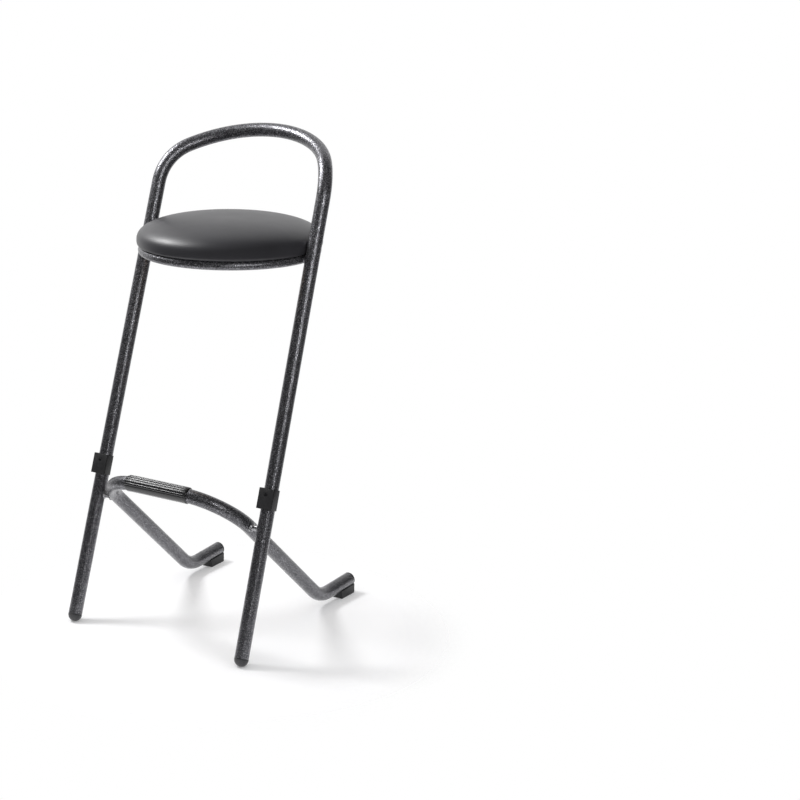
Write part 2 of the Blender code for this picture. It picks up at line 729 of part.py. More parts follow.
def cushion_outline(inset):
    """Crown and tucked side of the cushion, from its top to its bottom edge."""
    radius = CUSHION_RADIUS
    outline = []
    for k in range(CUSHION_CROWN_STEPS + 1):
        angle = pi / 2 * (1 - k / CUSHION_CROWN_STEPS)
        across = 0 if k == 0 else (radius - inset) * cos(angle) ** (2 / CUSHION_SIDE_POWER)
        rise = (CUSHION_CROWN - inset) * sin(angle) ** (2 / CUSHION_CROWN_POWER)
        outline.append((across, RIM_HEIGHT + rise))
    drop = RIM_HEIGHT - HEM_BOTTOM - inset
    for k in range(1, CUSHION_TUCK_STEPS + 1):
        angle = pi / 2 * k / CUSHION_TUCK_STEPS
        across = HEM_OUTER_RADIUS + (CUSHION_TUCK - inset) * cos(angle)
        outline.append((across, RIM_HEIGHT - drop * sin(angle)))
    return outline


def build_seat_cover(root, looks, staple_cutter):
    """Cover drawn over the foam and turned in under the board."""
    outer = cushion_outline(0)
    inner = cushion_outline(COVER_THICKNESS)
    hem_inner = HEM_OUTER_RADIUS - HEM_WIDTH
    outline = outer + [(hem_inner, HEM_BOTTOM), (hem_inner, HEM_BOTTOM + COVER_THICKNESS)] + inner[::-1]
    builder = bmesh.new()
    place = Matrix.Translation(Vector((0, RING_CENTRE.y, 0)))
    turned(builder, outline, CUSHION_STEPS)
    cover = make_object("seat_cover", builder, root, looks["vinyl"], place)
    combine(cover, staple_cutter, "DIFFERENCE")


def build_seat_foam(root, looks):
    """Foam over the board and round its edge."""
    outline = cushion_outline(COVER_THICKNESS + FIT_GAP)
    lip = BOARD_RADIUS + FIT_GAP
    over_board = BOARD_TOP + FIT_GAP
    outline += [(lip, outline[-1][1]), (lip, over_board), (0, over_board)]
    builder = bmesh.new()
    place = Matrix.Translation(Vector((0, RING_CENTRE.y, 0)))
    turned(builder, outline, CUSHION_STEPS)
    make_object("seat_foam", builder, root, looks["foam"], place)


def build_seat_board(root, looks, staple_cutter):
    """Round plywood board with holes for the tee nuts and the staples."""
    builder = bmesh.new()
    place = Matrix.Translation(Vector((0, RING_CENTRE.y, 0)))
    prism(builder, circle(BOARD_RADIUS, CUSHION_STEPS), BOARD_BOTTOM, BOARD_TOP)
    board = make_object("seat_board", builder, root, looks["plywood"], place)
    holes = bmesh.new()
    flange = outer_polygon(NUT_FLANGE_RADIUS + FIT_GAP, SCREW_SIDES)
    barrel = outer_polygon(NUT_BORE + NUT_WALL + FIT_GAP, SCREW_SIDES)
    recess = BOARD_TOP - NUT_RECESS
    outline = [(0, BOARD_TOP + CUT_OVERRUN), (flange, BOARD_TOP + CUT_OVERRUN), (flange, recess),
               (barrel, recess), (barrel, BOARD_BOTTOM - CUT_OVERRUN), (0, BOARD_BOTTOM - CUT_OVERRUN)]
    for angle in tab_angles():
        turned(holes, outline, SCREW_SIDES, Matrix.Translation(around_ring(angle, TAB_HOLE_RADIUS, 0)))
    combine(board, make_cutter("cutter_board_holes", holes, root, looks["plywood"]), "DIFFERENCE")
    combine(board, staple_cutter, "DIFFERENCE")


def build_seat_tabs(root, looks):
    """Flat lugs, welded inside the ring, that carry the seat screws."""
    holes = bmesh.new()
    bore = outer_polygon(SCREW_RADIUS + FIT_GAP, SCREW_SIDES)
    low, high = TAB_TOP - TAB_THICKNESS - CUT_OVERRUN, TAB_TOP + CUT_OVERRUN
    for angle in tab_angles():
        place = Matrix.Translation(around_ring(angle, TAB_HOLE_RADIUS, 0))
        prism(holes, circle(bore, SCREW_SIDES), low, high, place)
    cutter = make_cutter("cutter_tab_holes", holes, root, looks["frame"])
    below_axis = TAB_TOP - TAB_THICKNESS - RING_HEIGHT
    ring_face = RING_RADIUS - sqrt((RING_TUBE_RADIUS + FIT_GAP) ** 2 - below_axis ** 2)
    half = TAB_WIDTH / 2
    end = sqrt(ring_face ** 2 - half ** 2)
    outline = [(end, -half), (end, half), (TAB_INNER_RADIUS + TAB_CORNER, half),
               (TAB_INNER_RADIUS, half - TAB_CORNER), (TAB_INNER_RADIUS, TAB_CORNER - half),
               (TAB_INNER_RADIUS + TAB_CORNER, -half)]
    for k, angle in enumerate(tab_angles()):
        builder = bmesh.new()
        prism(builder, outline, TAB_TOP - TAB_THICKNESS, TAB_TOP)
        place = Matrix.Translation(around_ring(angle, 0, 0)) @ Matrix.Rotation(angle, 4, "Z")
        tab = make_object("seat_tab_%d" % (k + 1), builder, root, looks["frame"], place)
        combine(tab, cutter, "DIFFERENCE")


def build_seat_fixings(root, looks):
    """Screws with washers from below, and the tee nuts that they run into."""
    washer_top = TAB_TOP - TAB_THICKNESS - FIT_GAP
    head_top = washer_top - WASHER_THICKNESS - FIT_GAP
    head_bottom = head_top - SCREW_HEAD_HEIGHT
    tip = head_top + SCREW_LENGTH
    socket_top = head_bottom + SOCKET_DEPTH
    rings = [(0, tip, False), (SCREW_RADIUS, tip, False), (SCREW_RADIUS, head_top, False),
             (SCREW_HEAD_RADIUS, head_top, False), (SCREW_HEAD_RADIUS, head_bottom, False),
             (SOCKET_RADIUS, head_bottom, True), (SOCKET_RADIUS, socket_top, True), (0, socket_top, True)]
    bore = outer_polygon(SCREW_RADIUS + FIT_GAP, SCREW_SIDES)
    washer = [(bore, washer_top), (WASHER_RADIUS, washer_top), (WASHER_RADIUS, washer_top - WASHER_THICKNESS),
              (bore, washer_top - WASHER_THICKNESS)]
    nut_bore = outer_polygon(NUT_BORE, SCREW_SIDES)
    flange_bottom = BOARD_TOP - NUT_FLANGE_THICKNESS
    barrel_end = BOARD_TOP - NUT_BARREL
    nut = [(nut_bore, BOARD_TOP), (NUT_FLANGE_RADIUS, BOARD_TOP), (NUT_FLANGE_RADIUS, flange_bottom),
           (NUT_BORE + NUT_WALL, flange_bottom), (NUT_BORE + NUT_WALL, barrel_end), (nut_bore, barrel_end)]
    for number, angle in enumerate(tab_angles(), 1):
        place = Matrix.Translation(around_ring(angle, TAB_HOLE_RADIUS, 0))
        builder = bmesh.new()
        socket_screw(builder, rings, SCREW_SIDES)
        make_object("seat_screw_%d" % number, builder, root, looks["zinc"], place)
        for name, outline_of_piece in (("seat_washer_%d", washer), ("seat_tee_nut_%d", nut)):
            builder = bmesh.new()
            turned(builder, outline_of_piece, SCREW_SIDES, closed=True)
            make_object(name % number, builder, root, looks["zinc"], place)


def staple_places():
    """Middle of each staple's crown, X pointing away from the seat's middle."""
    radius = BOARD_RADIUS - STAPLE_INSET
    places = []
    for k in range(STAPLE_COUNT):
        angle = radians(TAB_FIRST_DEG) + 2 * pi * (k + 0.5) / STAPLE_COUNT
        middle = around_ring(angle, radius, HEM_BOTTOM - FIT_GAP - STAPLE_WIRE)
        places.append(Matrix.Translation(middle) @ Matrix.Rotation(angle, 4, "Z"))
    return places


def build_staple_cutter(root, looks):
    builder = bmesh.new()
    wide = STAPLE_WIRE / 2 + FIT_GAP
    outer, inner = STAPLE_CROWN / 2 + FIT_GAP, STAPLE_CROWN / 2 - STAPLE_WIRE - FIT_GAP
    for place in staple_places():
        for low, high in ((-outer, -inner), (inner, outer)):
            leg = [(-wide, low), (wide, low), (wide, high), (-wide, high)]
            prism(builder, leg, 0, STAPLE_LEG + FIT_GAP, place)
    return make_cutter("cutter_staples", builder, root, looks["zinc"])


def build_staples(root, looks):
    """Staples that hold the cover's hem against the board."""
    outer, inner = STAPLE_CROWN / 2, STAPLE_CROWN / 2 - STAPLE_WIRE
    wire, leg = STAPLE_WIRE, STAPLE_LEG
    outline = [(-outer, 0), (outer, 0), (outer, leg), (inner, leg), (inner, wire), (-inner, wire),
               (-inner, leg), (-outer, leg)]
    for number, place in enumerate(staple_places(), 1):
        builder = bmesh.new()
        rings = [[Vector((x, y, z)) for y, z in outline] for x in (-wire / 2, wire / 2)]
        near, far = add_skin(builder, rings)
        builder.faces.new(near)
        builder.faces.new(far)
        make_object("cover_staple_%02d" % number, builder, root, looks["zinc"], place)


def stool_origin():
    """Empty that brings the middle of the stool's depth over the origin."""
    front = leg_point(cap_centre_station()).y - TUBE_RADIUS
    back = BASE_REACH + (FIT_GAP + FOOT_DISC) * cos(REAR_RISE) + TUBE_RADIUS * sin(REAR_RISE)
    root = bpy.data.objects.new("stool_origin", None)
    bpy.context.collection.objects.link(root)
    root.location = (0, -(front + back) / 2, 0)
    return root


def main():
    clear_scene()
    looks = {
        "frame": material("hammered_powder_coat", (0.06, 0.06, 0.065), 0.38, 0.6),
        "stud": material("weld_steel", (0.35, 0.35, 0.36), 0.35, 0.9),
        "zinc": material("zinc_plated_steel", (0.55, 0.55, 0.53), 0.35, 1.0),
        "black_steel": material("black_oxide_steel", (0.04, 0.04, 0.042), 0.4, 0.8),
        "plastic": material("black_matte_plastic", (0.02, 0.02, 0.022), 0.55),
        "sleeve": material("black_gloss_plastic", (0.025, 0.025, 0.027), 0.28),
        "vinyl": material("black_vinyl", (0.022, 0.022, 0.024), 0.42),
        "foam": material("grey_foam", (0.45, 0.44, 0.40), 0.95),
        "plywood": material("birch_plywood", (0.55, 0.40, 0.25), 0.7),
    }
    root = stool_origin()
    front_frames = front_path()
    base_frames = base_path()
    cut_section = circle(TUBE_RADIUS + FIT_GAP, TUBE_SIDES)
    front_cutter = make_cutter("cutter_front", rod_mesh(front_frames, cut_section), root, looks["frame"])
    base_rod = rod_mesh(lengthened(base_frames, FIT_GAP), cut_section)
    base_cutter = make_cutter("cutter_base", base_rod, root, looks["frame"])
    ring_cutter = build_ring_cutter(root, looks)

    front_frame = build_front_frame(root, looks, front_frames)
    build_base_frame(root, looks, base_frames)
    build_seat_ring(root, looks)
    build_ring_welds(root, looks, front_cutter, ring_cutter)
    build_joint_spacers(root, looks, front_cutter, base_cutter)
    build_leg_caps(root, looks)
    build_rear_feet(root, looks, base_frames, base_cutter)
    build_stacking_clips(root, looks, front_frame)
    build_footrest_sleeve(root, looks, base_frames)
    staple_cutter = build_staple_cutter(root, looks)
    build_seat_cover(root, looks, staple_cutter)
    build_seat_foam(root, looks)
    build_seat_board(root, looks, staple_cutter)
    build_seat_tabs(root, looks)
    build_seat_fixings(root, looks)
    build_staples(root, looks)
    bpy.context.view_layer.update()


main()
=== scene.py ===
"""Looks of the bar stool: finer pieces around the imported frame, materials, studio and camera."""
import json
from math import acos, atan2, ceil, cos, pi, radians, sin, sqrt, tan

import bmesh
import bpy
from mathutils import Matrix, Vector, noise

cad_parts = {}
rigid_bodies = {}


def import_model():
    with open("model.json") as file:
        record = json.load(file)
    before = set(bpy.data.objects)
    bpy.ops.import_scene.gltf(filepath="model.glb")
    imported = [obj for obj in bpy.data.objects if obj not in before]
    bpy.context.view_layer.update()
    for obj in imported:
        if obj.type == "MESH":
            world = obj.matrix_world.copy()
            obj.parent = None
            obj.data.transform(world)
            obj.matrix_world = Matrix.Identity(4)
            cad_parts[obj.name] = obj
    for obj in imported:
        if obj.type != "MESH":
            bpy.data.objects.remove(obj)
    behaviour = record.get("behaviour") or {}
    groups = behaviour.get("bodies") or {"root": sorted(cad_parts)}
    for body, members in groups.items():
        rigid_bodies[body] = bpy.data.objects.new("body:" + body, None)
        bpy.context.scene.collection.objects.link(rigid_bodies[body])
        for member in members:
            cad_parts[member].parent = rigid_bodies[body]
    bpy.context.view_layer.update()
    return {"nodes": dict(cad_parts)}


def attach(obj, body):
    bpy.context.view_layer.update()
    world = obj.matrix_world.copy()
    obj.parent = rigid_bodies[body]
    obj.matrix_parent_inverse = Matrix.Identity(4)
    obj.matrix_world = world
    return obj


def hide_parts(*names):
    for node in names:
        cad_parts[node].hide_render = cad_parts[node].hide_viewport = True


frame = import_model()

# Sizes of the frame, as in the solids. All sizes are in metres.
FIT_GAP = 0.0003
TUBE_RADIUS = 0.014
TUBE_WALL = 0.0015
END_BEVEL = 0.0010
LEG_LEAN = radians(18.5)
LEG_SPREAD = 0.0062
LOOP_RISE = 0.1188
LOOP_BEND_RADIUS = 0.1033
LOOP_BEND = radians(56.15)
LOOP_BEND_TURN = radians(42.7)
CROWN_SET_BACK = 0.0203
CROWN_HEIGHT = 0.3095
ARM_SLOPE = radians(41.05)
ARM_SPLAY = 0.018
BASE_BEND_RADIUS = 0.1015
REAR_BEND_RADIUS = 0.082
BASE_REACH = 0.4624
REAR_RISE = radians(2.5)

# Seat ring and its welds. RING_BEAD holds half the sizes of a bead.
RING_HEIGHT = 0.745
RING_RADIUS = 0.1720
RING_TUBE_RADIUS = 0.009
RING_SET_BACK = 0.0072
RING_WELD_GAP = 0.0005
RING_BEAD = (0.0052, 0.0092, 0.0078)

# Studs between the legs and the base tube, with their fillet welds. Their ends creep into the tubes
# near the joint in small steps.
SPACER_GAP = 0.0155
SPACER_DROP = 0.0055
SPACER_RADIUS = 0.0060
WELD_WIDTH = 0.0026
WELD_RUN = 0.0034
WELD_EDGE = 0.0005
WELD_END_RADII = (0.0062, 0.0084)
WELD_HOLLOW = 1.8
WELD_LUMPY_RUN = 0.0042
WELD_SINK = 0.0004
JOINT_REACH = 0.06
CREEP = 0.0001
MOST_CREEPS = 150

# Leg caps and rear feet
PLUG_RADIUS = 0.0115
PLUG_LENGTH = 0.018
CAP_LIP = 0.0012
CAP_EDGE = 0.0003
CAP_FLAT_DEPTH = 0.0005
FOOT_DISC = 0.0025
FOOT_DISC_EDGE = (0.0018, 0.0012)
PAD_WIDTH = 0.0274
PAD_LENGTH = 0.048
PAD_THICKNESS = 0.0100
PAD_NOSE_SLANT = 0.004
PAD_WRAP = 0.0065
PAD_CORNER = 0.0012
PAD_EDGE = 0.0011
PAD_REAR_INSET = 0.0004
PAD_BORE_LENGTH = 0.08

# Stacking clips and their screws. The outlines hold (radius, height) points.
CLIP_HEIGHT = 0.0400
CLIP_RISE = 0.0348
CLIP_WALL = 0.0033
CLIP_FRONT = 0.0032
CLIP_WRAP = 0.0030
CLIP_BORE_GAP = 0.0002
CLIP_CORNER = 0.0018
CLIP_EDGE = 0.0005
CLIP_SCREW_DROP = 0.012
CLIP_SCREW_SINK = 0.0002
COUNTERSINK = ((0, 0.002), (0.0042, 0.002), (0.0038, 0), (0.0021, -0.0024), (0, -0.0024))
SCREW_HEAD = ((0, -0.0017), (0.0017, -0.0017), (0.0017, -0.0001), (0.0029, 0.0), (0.0033, -0.0002),
              (0.0018, -0.0020), (0, -0.0023))
SCREW_HEAD_SIDES = 24
SCREW_LOBES = 6
SCREW_LOBE_SHARE = 0.80

# Footrest sleeve. SLEEVE_END holds (distance from the end, wall, height of the ribs).
SLEEVE_HALF_LENGTH = 0.071
SLEEVE_SHIFT = -0.003
SLEEVE_WALL = 0.0015
SLEEVE_BORE_WALL = -0.0001
SLEEVE_RIB = 0.001
SLEEVE_RIB_COUNT = 8
SLEEVE_RIB_ARC = radians(172)
SLEEVE_RIB_SHARE = 0.38
SLEEVE_END = ((0.0, 0.0005, 0.0), (0.0004, 0.0012, 0.0003), (0.0013, SLEEVE_WALL, 0.0008),
              (0.003, SLEEVE_WALL, SLEEVE_RIB))

# Cushion. Its crown and its bottom roll are superellipses with the powers given here. HEM_OUTLINE holds
# (radius, rise over the hem) points, from the bottom roll to the hem's fold.
CUSHION_RADIUS = 0.1840
CUSHION_RIM = 0.0210
CUSHION_CROWN = 0.0438
CROWN_POWERS = (2 / 3.0, 2 / 2.3)
CUSHION_SIDE = 0.0020
ROLL_WIDTH = 0.0081
ROLL_DEPTH = 0.0102
ROLL_POWER = 2 / 2.8
HEM_GAP = 0.00015
HEM_THICKNESS = 0.0012
HEM_OUTLINE = ((0.1745, -0.00005), (0.1730, 0.00025), (0.1712, 0.00035), (0.1625, 0), (0.1560, 0),
               (0.1524, 0.0001), (0.1518, 0.0006), (0.1524, 0.0011))
HEM_WAVE = 0.0006
HEM_WAVE_REACH = 0.1585
BOARD_RADIUS = 0.1683
BOARD_RISE = 0.0137
LEG_CLEARANCE = 0.0004
LEG_PRESS = 0.004
LEG_PRESS_ABOVE_HEM = 0.002
CLOTH_FRAMES = 20
CLOTH_PRESSURE = 6.0
CLOTH_MOST_MOVE = 0.004
CLOTH_HELD_BELOW = 0.004
CLOTH_HELD_FADE = 0.012

# Fineness of the meshes. Edges that turn by more degrees than these are sharp, or get a bevel. A corner's
# arc takes up to FILLET_SHARE of each side.
TUBE_SIDES = 36
PATH_STEP = 0.02
FOOTREST_STEP = 0.008
RING_STEPS = 128
RING_TUBE_SIDES = 24
SLEEVE_SIDES = 320
SLEEVE_STEPS = 40
CUSHION_SIDES = 96
WELD_STEPS = 8
CLIP_BORE_STEPS = 32
SHARP_DEGREES = 38
BEVEL_DEGREES = 40
FILLET_SHARE = 0.45

# Studio. A fade holds the distances where it starts and ends. The floor is brighter by FLOOR_LIFT
# for the camera, and by FLOOR_GLOW in reflections.
FLOOR_RADIUS = 4.0
FLOOR_DROP = 0.0002
FLOOR_COLOUR = (0.86, 0.86, 0.87)
FLOOR_LIFT = 0.16
FLOOR_GLOW = 0.65
FLOOR_MIDDLE = (0.06, -0.08)
FLOOR_FADE = (0.35, 0.50)
MIRROR_FADE = (0.5, 1.3)
EDGE_FADE = (1.3, 3.6)
WORLD_LEVEL = 0.72
ROOM_LEVEL = 0.05
BACKDROP_EDGE = (0.35, 0.72)
LEFT_PLACE = (-1.39, -0.32, 2.13)
STRIP_PLACE = (2.3, -1.6, 1.6)
LOW_TARGET = (0, 0, 0.3)
SEAT_TARGET = (0, 0, 0.7)

# Camera of the photo: sizes in its pixels, and turn, tilt and roll in degrees
PHOTO_SIZE = 800
FOCAL_PIXELS = 1931.93
CENTRE_X = 189.19
CENTRE_Y = 342.38
CAMERA_TURN = (35.256, 13.528, -0.032)
CAMERA_AIM = (-0.31754, 0.56739, 0.450)
CAMERA_DISTANCE = 4.30458
SENSOR_WIDTH = 36.0

# Values that follow from the sizes
REAR_AXIS_HEIGHT = PAD_THICKNESS + TUBE_RADIUS
RING_SIDE = sqrt(RING_RADIUS ** 2 - RING_SET_BACK ** 2)
LEG_AT_RING = RING_SIDE + RING_TUBE_RADIUS + RING_WELD_GAP + TUBE_RADIUS
RIM_Z = RING_HEIGHT + CUSHION_RIM
HEM_Z = RING_HEIGHT + RING_TUBE_RADIUS + HEM_GAP

# Sides and axes
SIDES = {"left": -1, "right": 1}
X_AXIS, Y_AXIS, Z_AXIS = Vector((1, 0, 0)), Vector((0, 1, 0)), Vector((0, 0, 1))


# Paths of the tubes. They are drawn with the legs' feet at y = 0, and ORIGIN moves them into the frame.

def leg_at(height):
    """Point of the right leg's axis at a height."""
    across = LEG_AT_RING + LEG_SPREAD * (1 - height / RING_HEIGHT)
    return Vector((across, height * tan(LEG_LEAN), height))


LEG_UP = (leg_at(RING_HEIGHT) - leg_at(0)).normalized()
CAP_CENTRE = (TUBE_RADIUS - CAP_FLAT_DEPTH) / LEG_UP.z
STOOL_FRONT = leg_at(0).y + LEG_UP.y * CAP_CENTRE - TUBE_RADIUS
STOOL_BACK = BASE_REACH + (FIT_GAP + FOOT_DISC) * cos(REAR_RISE) + TUBE_RADIUS * sin(REAR_RISE)
ORIGIN = Vector((0, -(STOOL_FRONT + STOOL_BACK) / 2, 0))
RING_CENTRE = Vector((0, RING_HEIGHT * tan(LEG_LEAN) + RING_SET_BACK, RING_HEIGHT)) + ORIGIN


def leg_point(station):
    """Point of the right leg's axis, so far along it from the floor."""
    return leg_at(0) + LEG_UP * station


def mirrored(vector):
    """The same point or direction on the stool's other side."""
    return Vector((-vector.x, vector.y, vector.z))


def axis_frame(origin, axis, across):
    """Place whose Z lies along axis and whose X is as near to across as that allows."""
    up = axis.normalized()
    back = up.cross(across).normalized()
    placed = Matrix((back.cross(up), back, up)).transposed().to_4x4()
    placed.translation = origin
    return placed


def leg_frame(station, side):
    """Place on the axis of a side's leg, with Z up the leg."""
    axis, centre = LEG_UP, leg_point(station)
    if side < 0:
        axis, centre = mirrored(axis), mirrored(centre)
    return axis_frame(centre + ORIGIN, axis, X_AXIS)


def add_bend(points, direction, toward, radius, angle, steps):
    """Add an arc that leaves in direction and turns toward. Gives the new direction."""
    start = points[-1].copy()
    for k in range(1, steps + 1):
        turn = angle * k / steps
        points.append(start + direction * radius * sin(turn) + toward * radius * (1 - cos(turn)))
    return direction * cos(angle) + toward * sin(angle)


def bend_between(direction, other):
    """Angle between two directions, and the way to turn from the first."""
    angle = acos(max(-1, min(1, direction.dot(other))))
    return angle, (other - direction * direction.dot(other)).normalized()


def add_straight(points, end, step=PATH_STEP):
    """Add points on a straight line to end, no further apart than step."""
    start = points[-1].copy()
    count = max(1, ceil((end - start).length / step))
    points += [start.lerp(end, k / count) for k in range(1, count + 1)]


def front_half():
    """Axis of the front frame's right half, from the loop's crown down to the leg's end."""
    points = [leg_point(CAP_CENTRE + CAP_LIP + FIT_GAP)]
    add_straight(points, leg_point(RING_HEIGHT / LEG_UP.z + LOOP_RISE))
    inward = -(X_AXIS - LEG_UP * LEG_UP.x).normalized()
    back = inward.cross(LEG_UP)
    toward = inward * cos(LOOP_BEND_TURN) + back * sin(LOOP_BEND_TURN)
    leaving = add_bend(points, LEG_UP, toward, LOOP_BEND_RADIUS, LOOP_BEND, steps=22)
    angle, toward = bend_between(leaving, -X_AXIS)
    crown = -points[-1].x / (sin(angle) * leaving.x + (1 - cos(angle)) * toward.x)
    add_bend(points, leaving, toward, crown, angle, steps=26)
    points[-1].x = 0
    return points[::-1]


def joint_place():
    """Run of the arm from the footrest to its joint with the leg, and the joint's point on the leg."""
    slope = Vector((cos(ARM_SLOPE), -sin(ARM_SLOPE)))
    lean = Vector((sin(LEG_LEAN), cos(LEG_LEAN)))
    run = (lean.x * CROWN_HEIGHT - lean.y * CROWN_SET_BACK) / (lean.y * slope.x - lean.x * slope.y)
    return run, leg_at(CROWN_HEIGHT + run * slope.y)


def base_half():
    """Axis of the base frame's right half, from the footrest's middle to the rear end."""
    run, on_leg = joint_place()
    turned_by = acos(max(-1, 1 - run / BASE_BEND_RADIUS))
    half = on_leg.x - 2 * TUBE_RADIUS - SPACER_GAP - BASE_BEND_RADIUS * sin(turned_by)
    points = [Vector((0, CROWN_SET_BACK, CROWN_HEIGHT))]
    add_straight(points, points[0] + X_AXIS * half, FOOTREST_STEP)
    arm = Vector((ARM_SPLAY, cos(ARM_SLOPE), -sin(ARM_SLOPE))).normalized()
    angle, toward = bend_between(X_AXIS, arm)
    add_bend(points, X_AXIS, toward, BASE_BEND_RADIUS, angle, steps=32)
    rising = Vector((arm.x, sqrt(cos(REAR_RISE) ** 2 - arm.x ** 2), sin(REAR_RISE)))
    angle, toward = bend_between(arm, rising)
    drop = REAR_BEND_RADIUS * (-arm.z * sin(angle) - toward.z * (1 - cos(angle)))
    add_straight(points, points[-1] + arm * ((points[-1].z - REAR_AXIS_HEIGHT - drop) / -arm.z))
    add_bend(points, arm, toward, REAR_BEND_RADIUS, angle, steps=16)
    add_straight(points, points[-1] + rising * ((BASE_REACH - points[-1].y) / rising.y))
    return points


def whole_path(half):
    """Frames (point, normal, binormal) along a tube whose left side mirrors its right half."""
    frames, normal = [], Z_AXIS
    for k, point in enumerate(half):
        if k == 0:
            tangent = X_AXIS
        elif k == len(half) - 1:
            tangent = (point - half[k - 1]).normalized()
        else:
            tangent = ((point - half[k - 1]).normalized() + (half[k + 1] - point).normalized()).normalized()
        normal = (normal - tangent * tangent.dot(normal)).normalized()
        frames.append((point + ORIGIN, normal, tangent.cross(normal)))
    return [tuple(mirrored(part) for part in item) for item in frames[:0:-1]] + frames


FRONT = whole_path(front_half())
BASE = whole_path(base_half())


# Mesh helpers

def circle(radius, sides):
    """Points (x, y) round a circle."""
    return [(radius * cos(2 * pi * k / sides), radius * sin(2 * pi * k / sides)) for k in range(sides)]


def quarter(steps):
    """Angles from 0 to a right angle."""
    return [pi / 2 * k / steps for k in range(steps + 1)]


def add_skin(builder, rings, closed=False):
    """Faces between rings of points, and from the last ring to the first if closed."""
    made = [[builder.verts.new(point) for point in ring] for ring in rings]
    for ring, other in zip(made, made[1:] + (made[:1] if closed else [])):
        for k in range(len(ring)):
            after = (k + 1) % len(ring)
            builder.faces.new((ring[k], ring[after], other[after], other[k]))
    return made


def rings_along(frames, section):
    """The section's points round each frame."""
    return [[point + normal * u + binormal * v for u, v in section] for point, normal, binormal in frames]


def tube_mesh(frames):
    """Frame tube with a small bevel round each sawn end."""
    builder = bmesh.new()
    rings = rings_along(frames, circle(TUBE_RADIUS, TUBE_SIDES))
    for end, near in ((0, 1), (-1, -2)):
        point, inward = frames[end][0], (frames[near][0] - frames[end][0]).normalized()
        edge = [corner + inward * END_BEVEL for corner in rings[end]]
        rings[end] = [corner + (point - corner).normalized() * END_BEVEL for corner in rings[end]]
        rings.insert(1 if end == 0 else len(rings) - 1, edge)
    outside = add_skin(builder, rings)
    inside = add_skin(builder, rings_along(frames, circle(TUBE_RADIUS - TUBE_WALL, TUBE_SIDES)))
    for end in (0, -1):
        for k in range(TUBE_SIDES):
            after = (k + 1) % TUBE_SIDES
            builder.faces.new((outside[end][k], outside[end][after], inside[end][after], inside[end][k]))
    return builder


def lathe(builder, outline, sides, wobble=None):
    """Turn an outline of (radius, height) round Z. wobble moves a point."""
    rings = []
    for radius, height in outline:
        if radius == 0:
            rings.append([builder.verts.new((0, 0, height))])
            continue
        around = [Vector((x, y, height)) for x, y in circle(radius, sides)]
        rings.append([builder.verts.new(wobble(point) if wobble else point) for point in around])
    for ring, other in zip(rings, rings[1:]):
        for k in range(sides):
            corners = [ring[k % len(ring)], ring[(k + 1) % len(ring)],
                       other[(k + 1) % len(other)], other[k % len(other)]]
            builder.faces.new(list(dict.fromkeys(corners)))
    return rings


def add_block(builder, rings):
    """Closed block between two rings of points."""
    for ring in add_skin(builder, rings):
        builder.faces.new(ring)


def prism(builder, outline, low, high):
    """Block that an outline of (x, y) makes between two heights."""
    add_block(builder, [[Vector((x, y, z)) for x, y in outline] for z in (low, high)])


def rounded(corners, radius, steps):
    """Outline with each corner replaced by a fillet that takes no more than its share of a side."""
    outline = []
    for k, corner in enumerate(corners):
        here, before, after = Vector(corner), Vector(corners[k - 1]), Vector(corners[(k + 1) % len(corners)])
        back, ahead = (before - here).normalized(), (after - here).normalized()
        half = back.angle(ahead) / 2
        sides = ((before - here).length * FILLET_SHARE, (after - here).length * FILLET_SHARE)
        reach = min(radius / tan(half), *sides)
        size = reach * tan(half)
        centre = here + (back + ahead).normalized() * (size / sin(half))
        start, end = here + back * reach - centre, here + ahead * reach - centre
        first, last = atan2(start.y, start.x), atan2(end.y, end.x)
        sweep = (last - first + pi) % (2 * pi) - pi
        for j in range(steps + 1):
            angle = first + sweep * j / steps
            outline.append((centre.x + size * cos(angle), centre.y + size * sin(angle)))
    return outline


def new_object(name, builder, place=None):
    """Object made of the builder's faces, turned outwards, and moved to its place."""
    bmesh.ops.recalc_face_normals(builder, faces=builder.faces)
    mesh = bpy.data.meshes.new(name)
    builder.to_mesh(mesh)
    builder.free()
    if place is not None:
        mesh.transform(place)
    made = bpy.data.objects.new(name, mesh)
    bpy.context.scene.collection.objects.link(made)
    return made


def smooth_shading(mesh, sharp):
    """Shade smoothly, apart from the edges that turn by more than an angle in degrees."""
    mesh.shade_smooth()
    mesh.set_sharp_from_angle(angle=radians(sharp))


def piece(name, builder, looks, nodes, place=None, sharp=SHARP_DEGREES):
    """A visible piece that stands for CAD nodes and rides on the one body."""
    made = new_object(name, builder, place)
    made.data.materials.append(looks)
    smooth_shading(made.data, sharp)
    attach(made, "root")
    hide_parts(*nodes)
    return made


def settle(target, sharp=SHARP_DEGREES):
    """Apply the modifiers of a piece to its mesh."""
    graph = bpy.context.evaluated_depsgraph_get()
    mesh = bpy.data.meshes.new_from_object(target.evaluated_get(graph))
    target.modifiers.clear()
    target.data = mesh
    smooth_shading(mesh, sharp)


def combine(target, other, operation="DIFFERENCE"):
    """Cut the other object from the target, or join it, and delete it."""
    step = target.modifiers.new("join", "BOOLEAN")
    step.operation, step.solver, step.object = operation, "EXACT", other
    settle(target)
    bpy.data.objects.remove(other)


def soften(target, width, segments):
    """Bevel the sharp edges."""
    step = target.modifiers.new("edges", "BEVEL")
    step.width, step.segments, step.limit_method = width, segments, "ANGLE"
    step.angle_limit = radians(BEVEL_DEGREES)
    settle(target)


# Node helpers

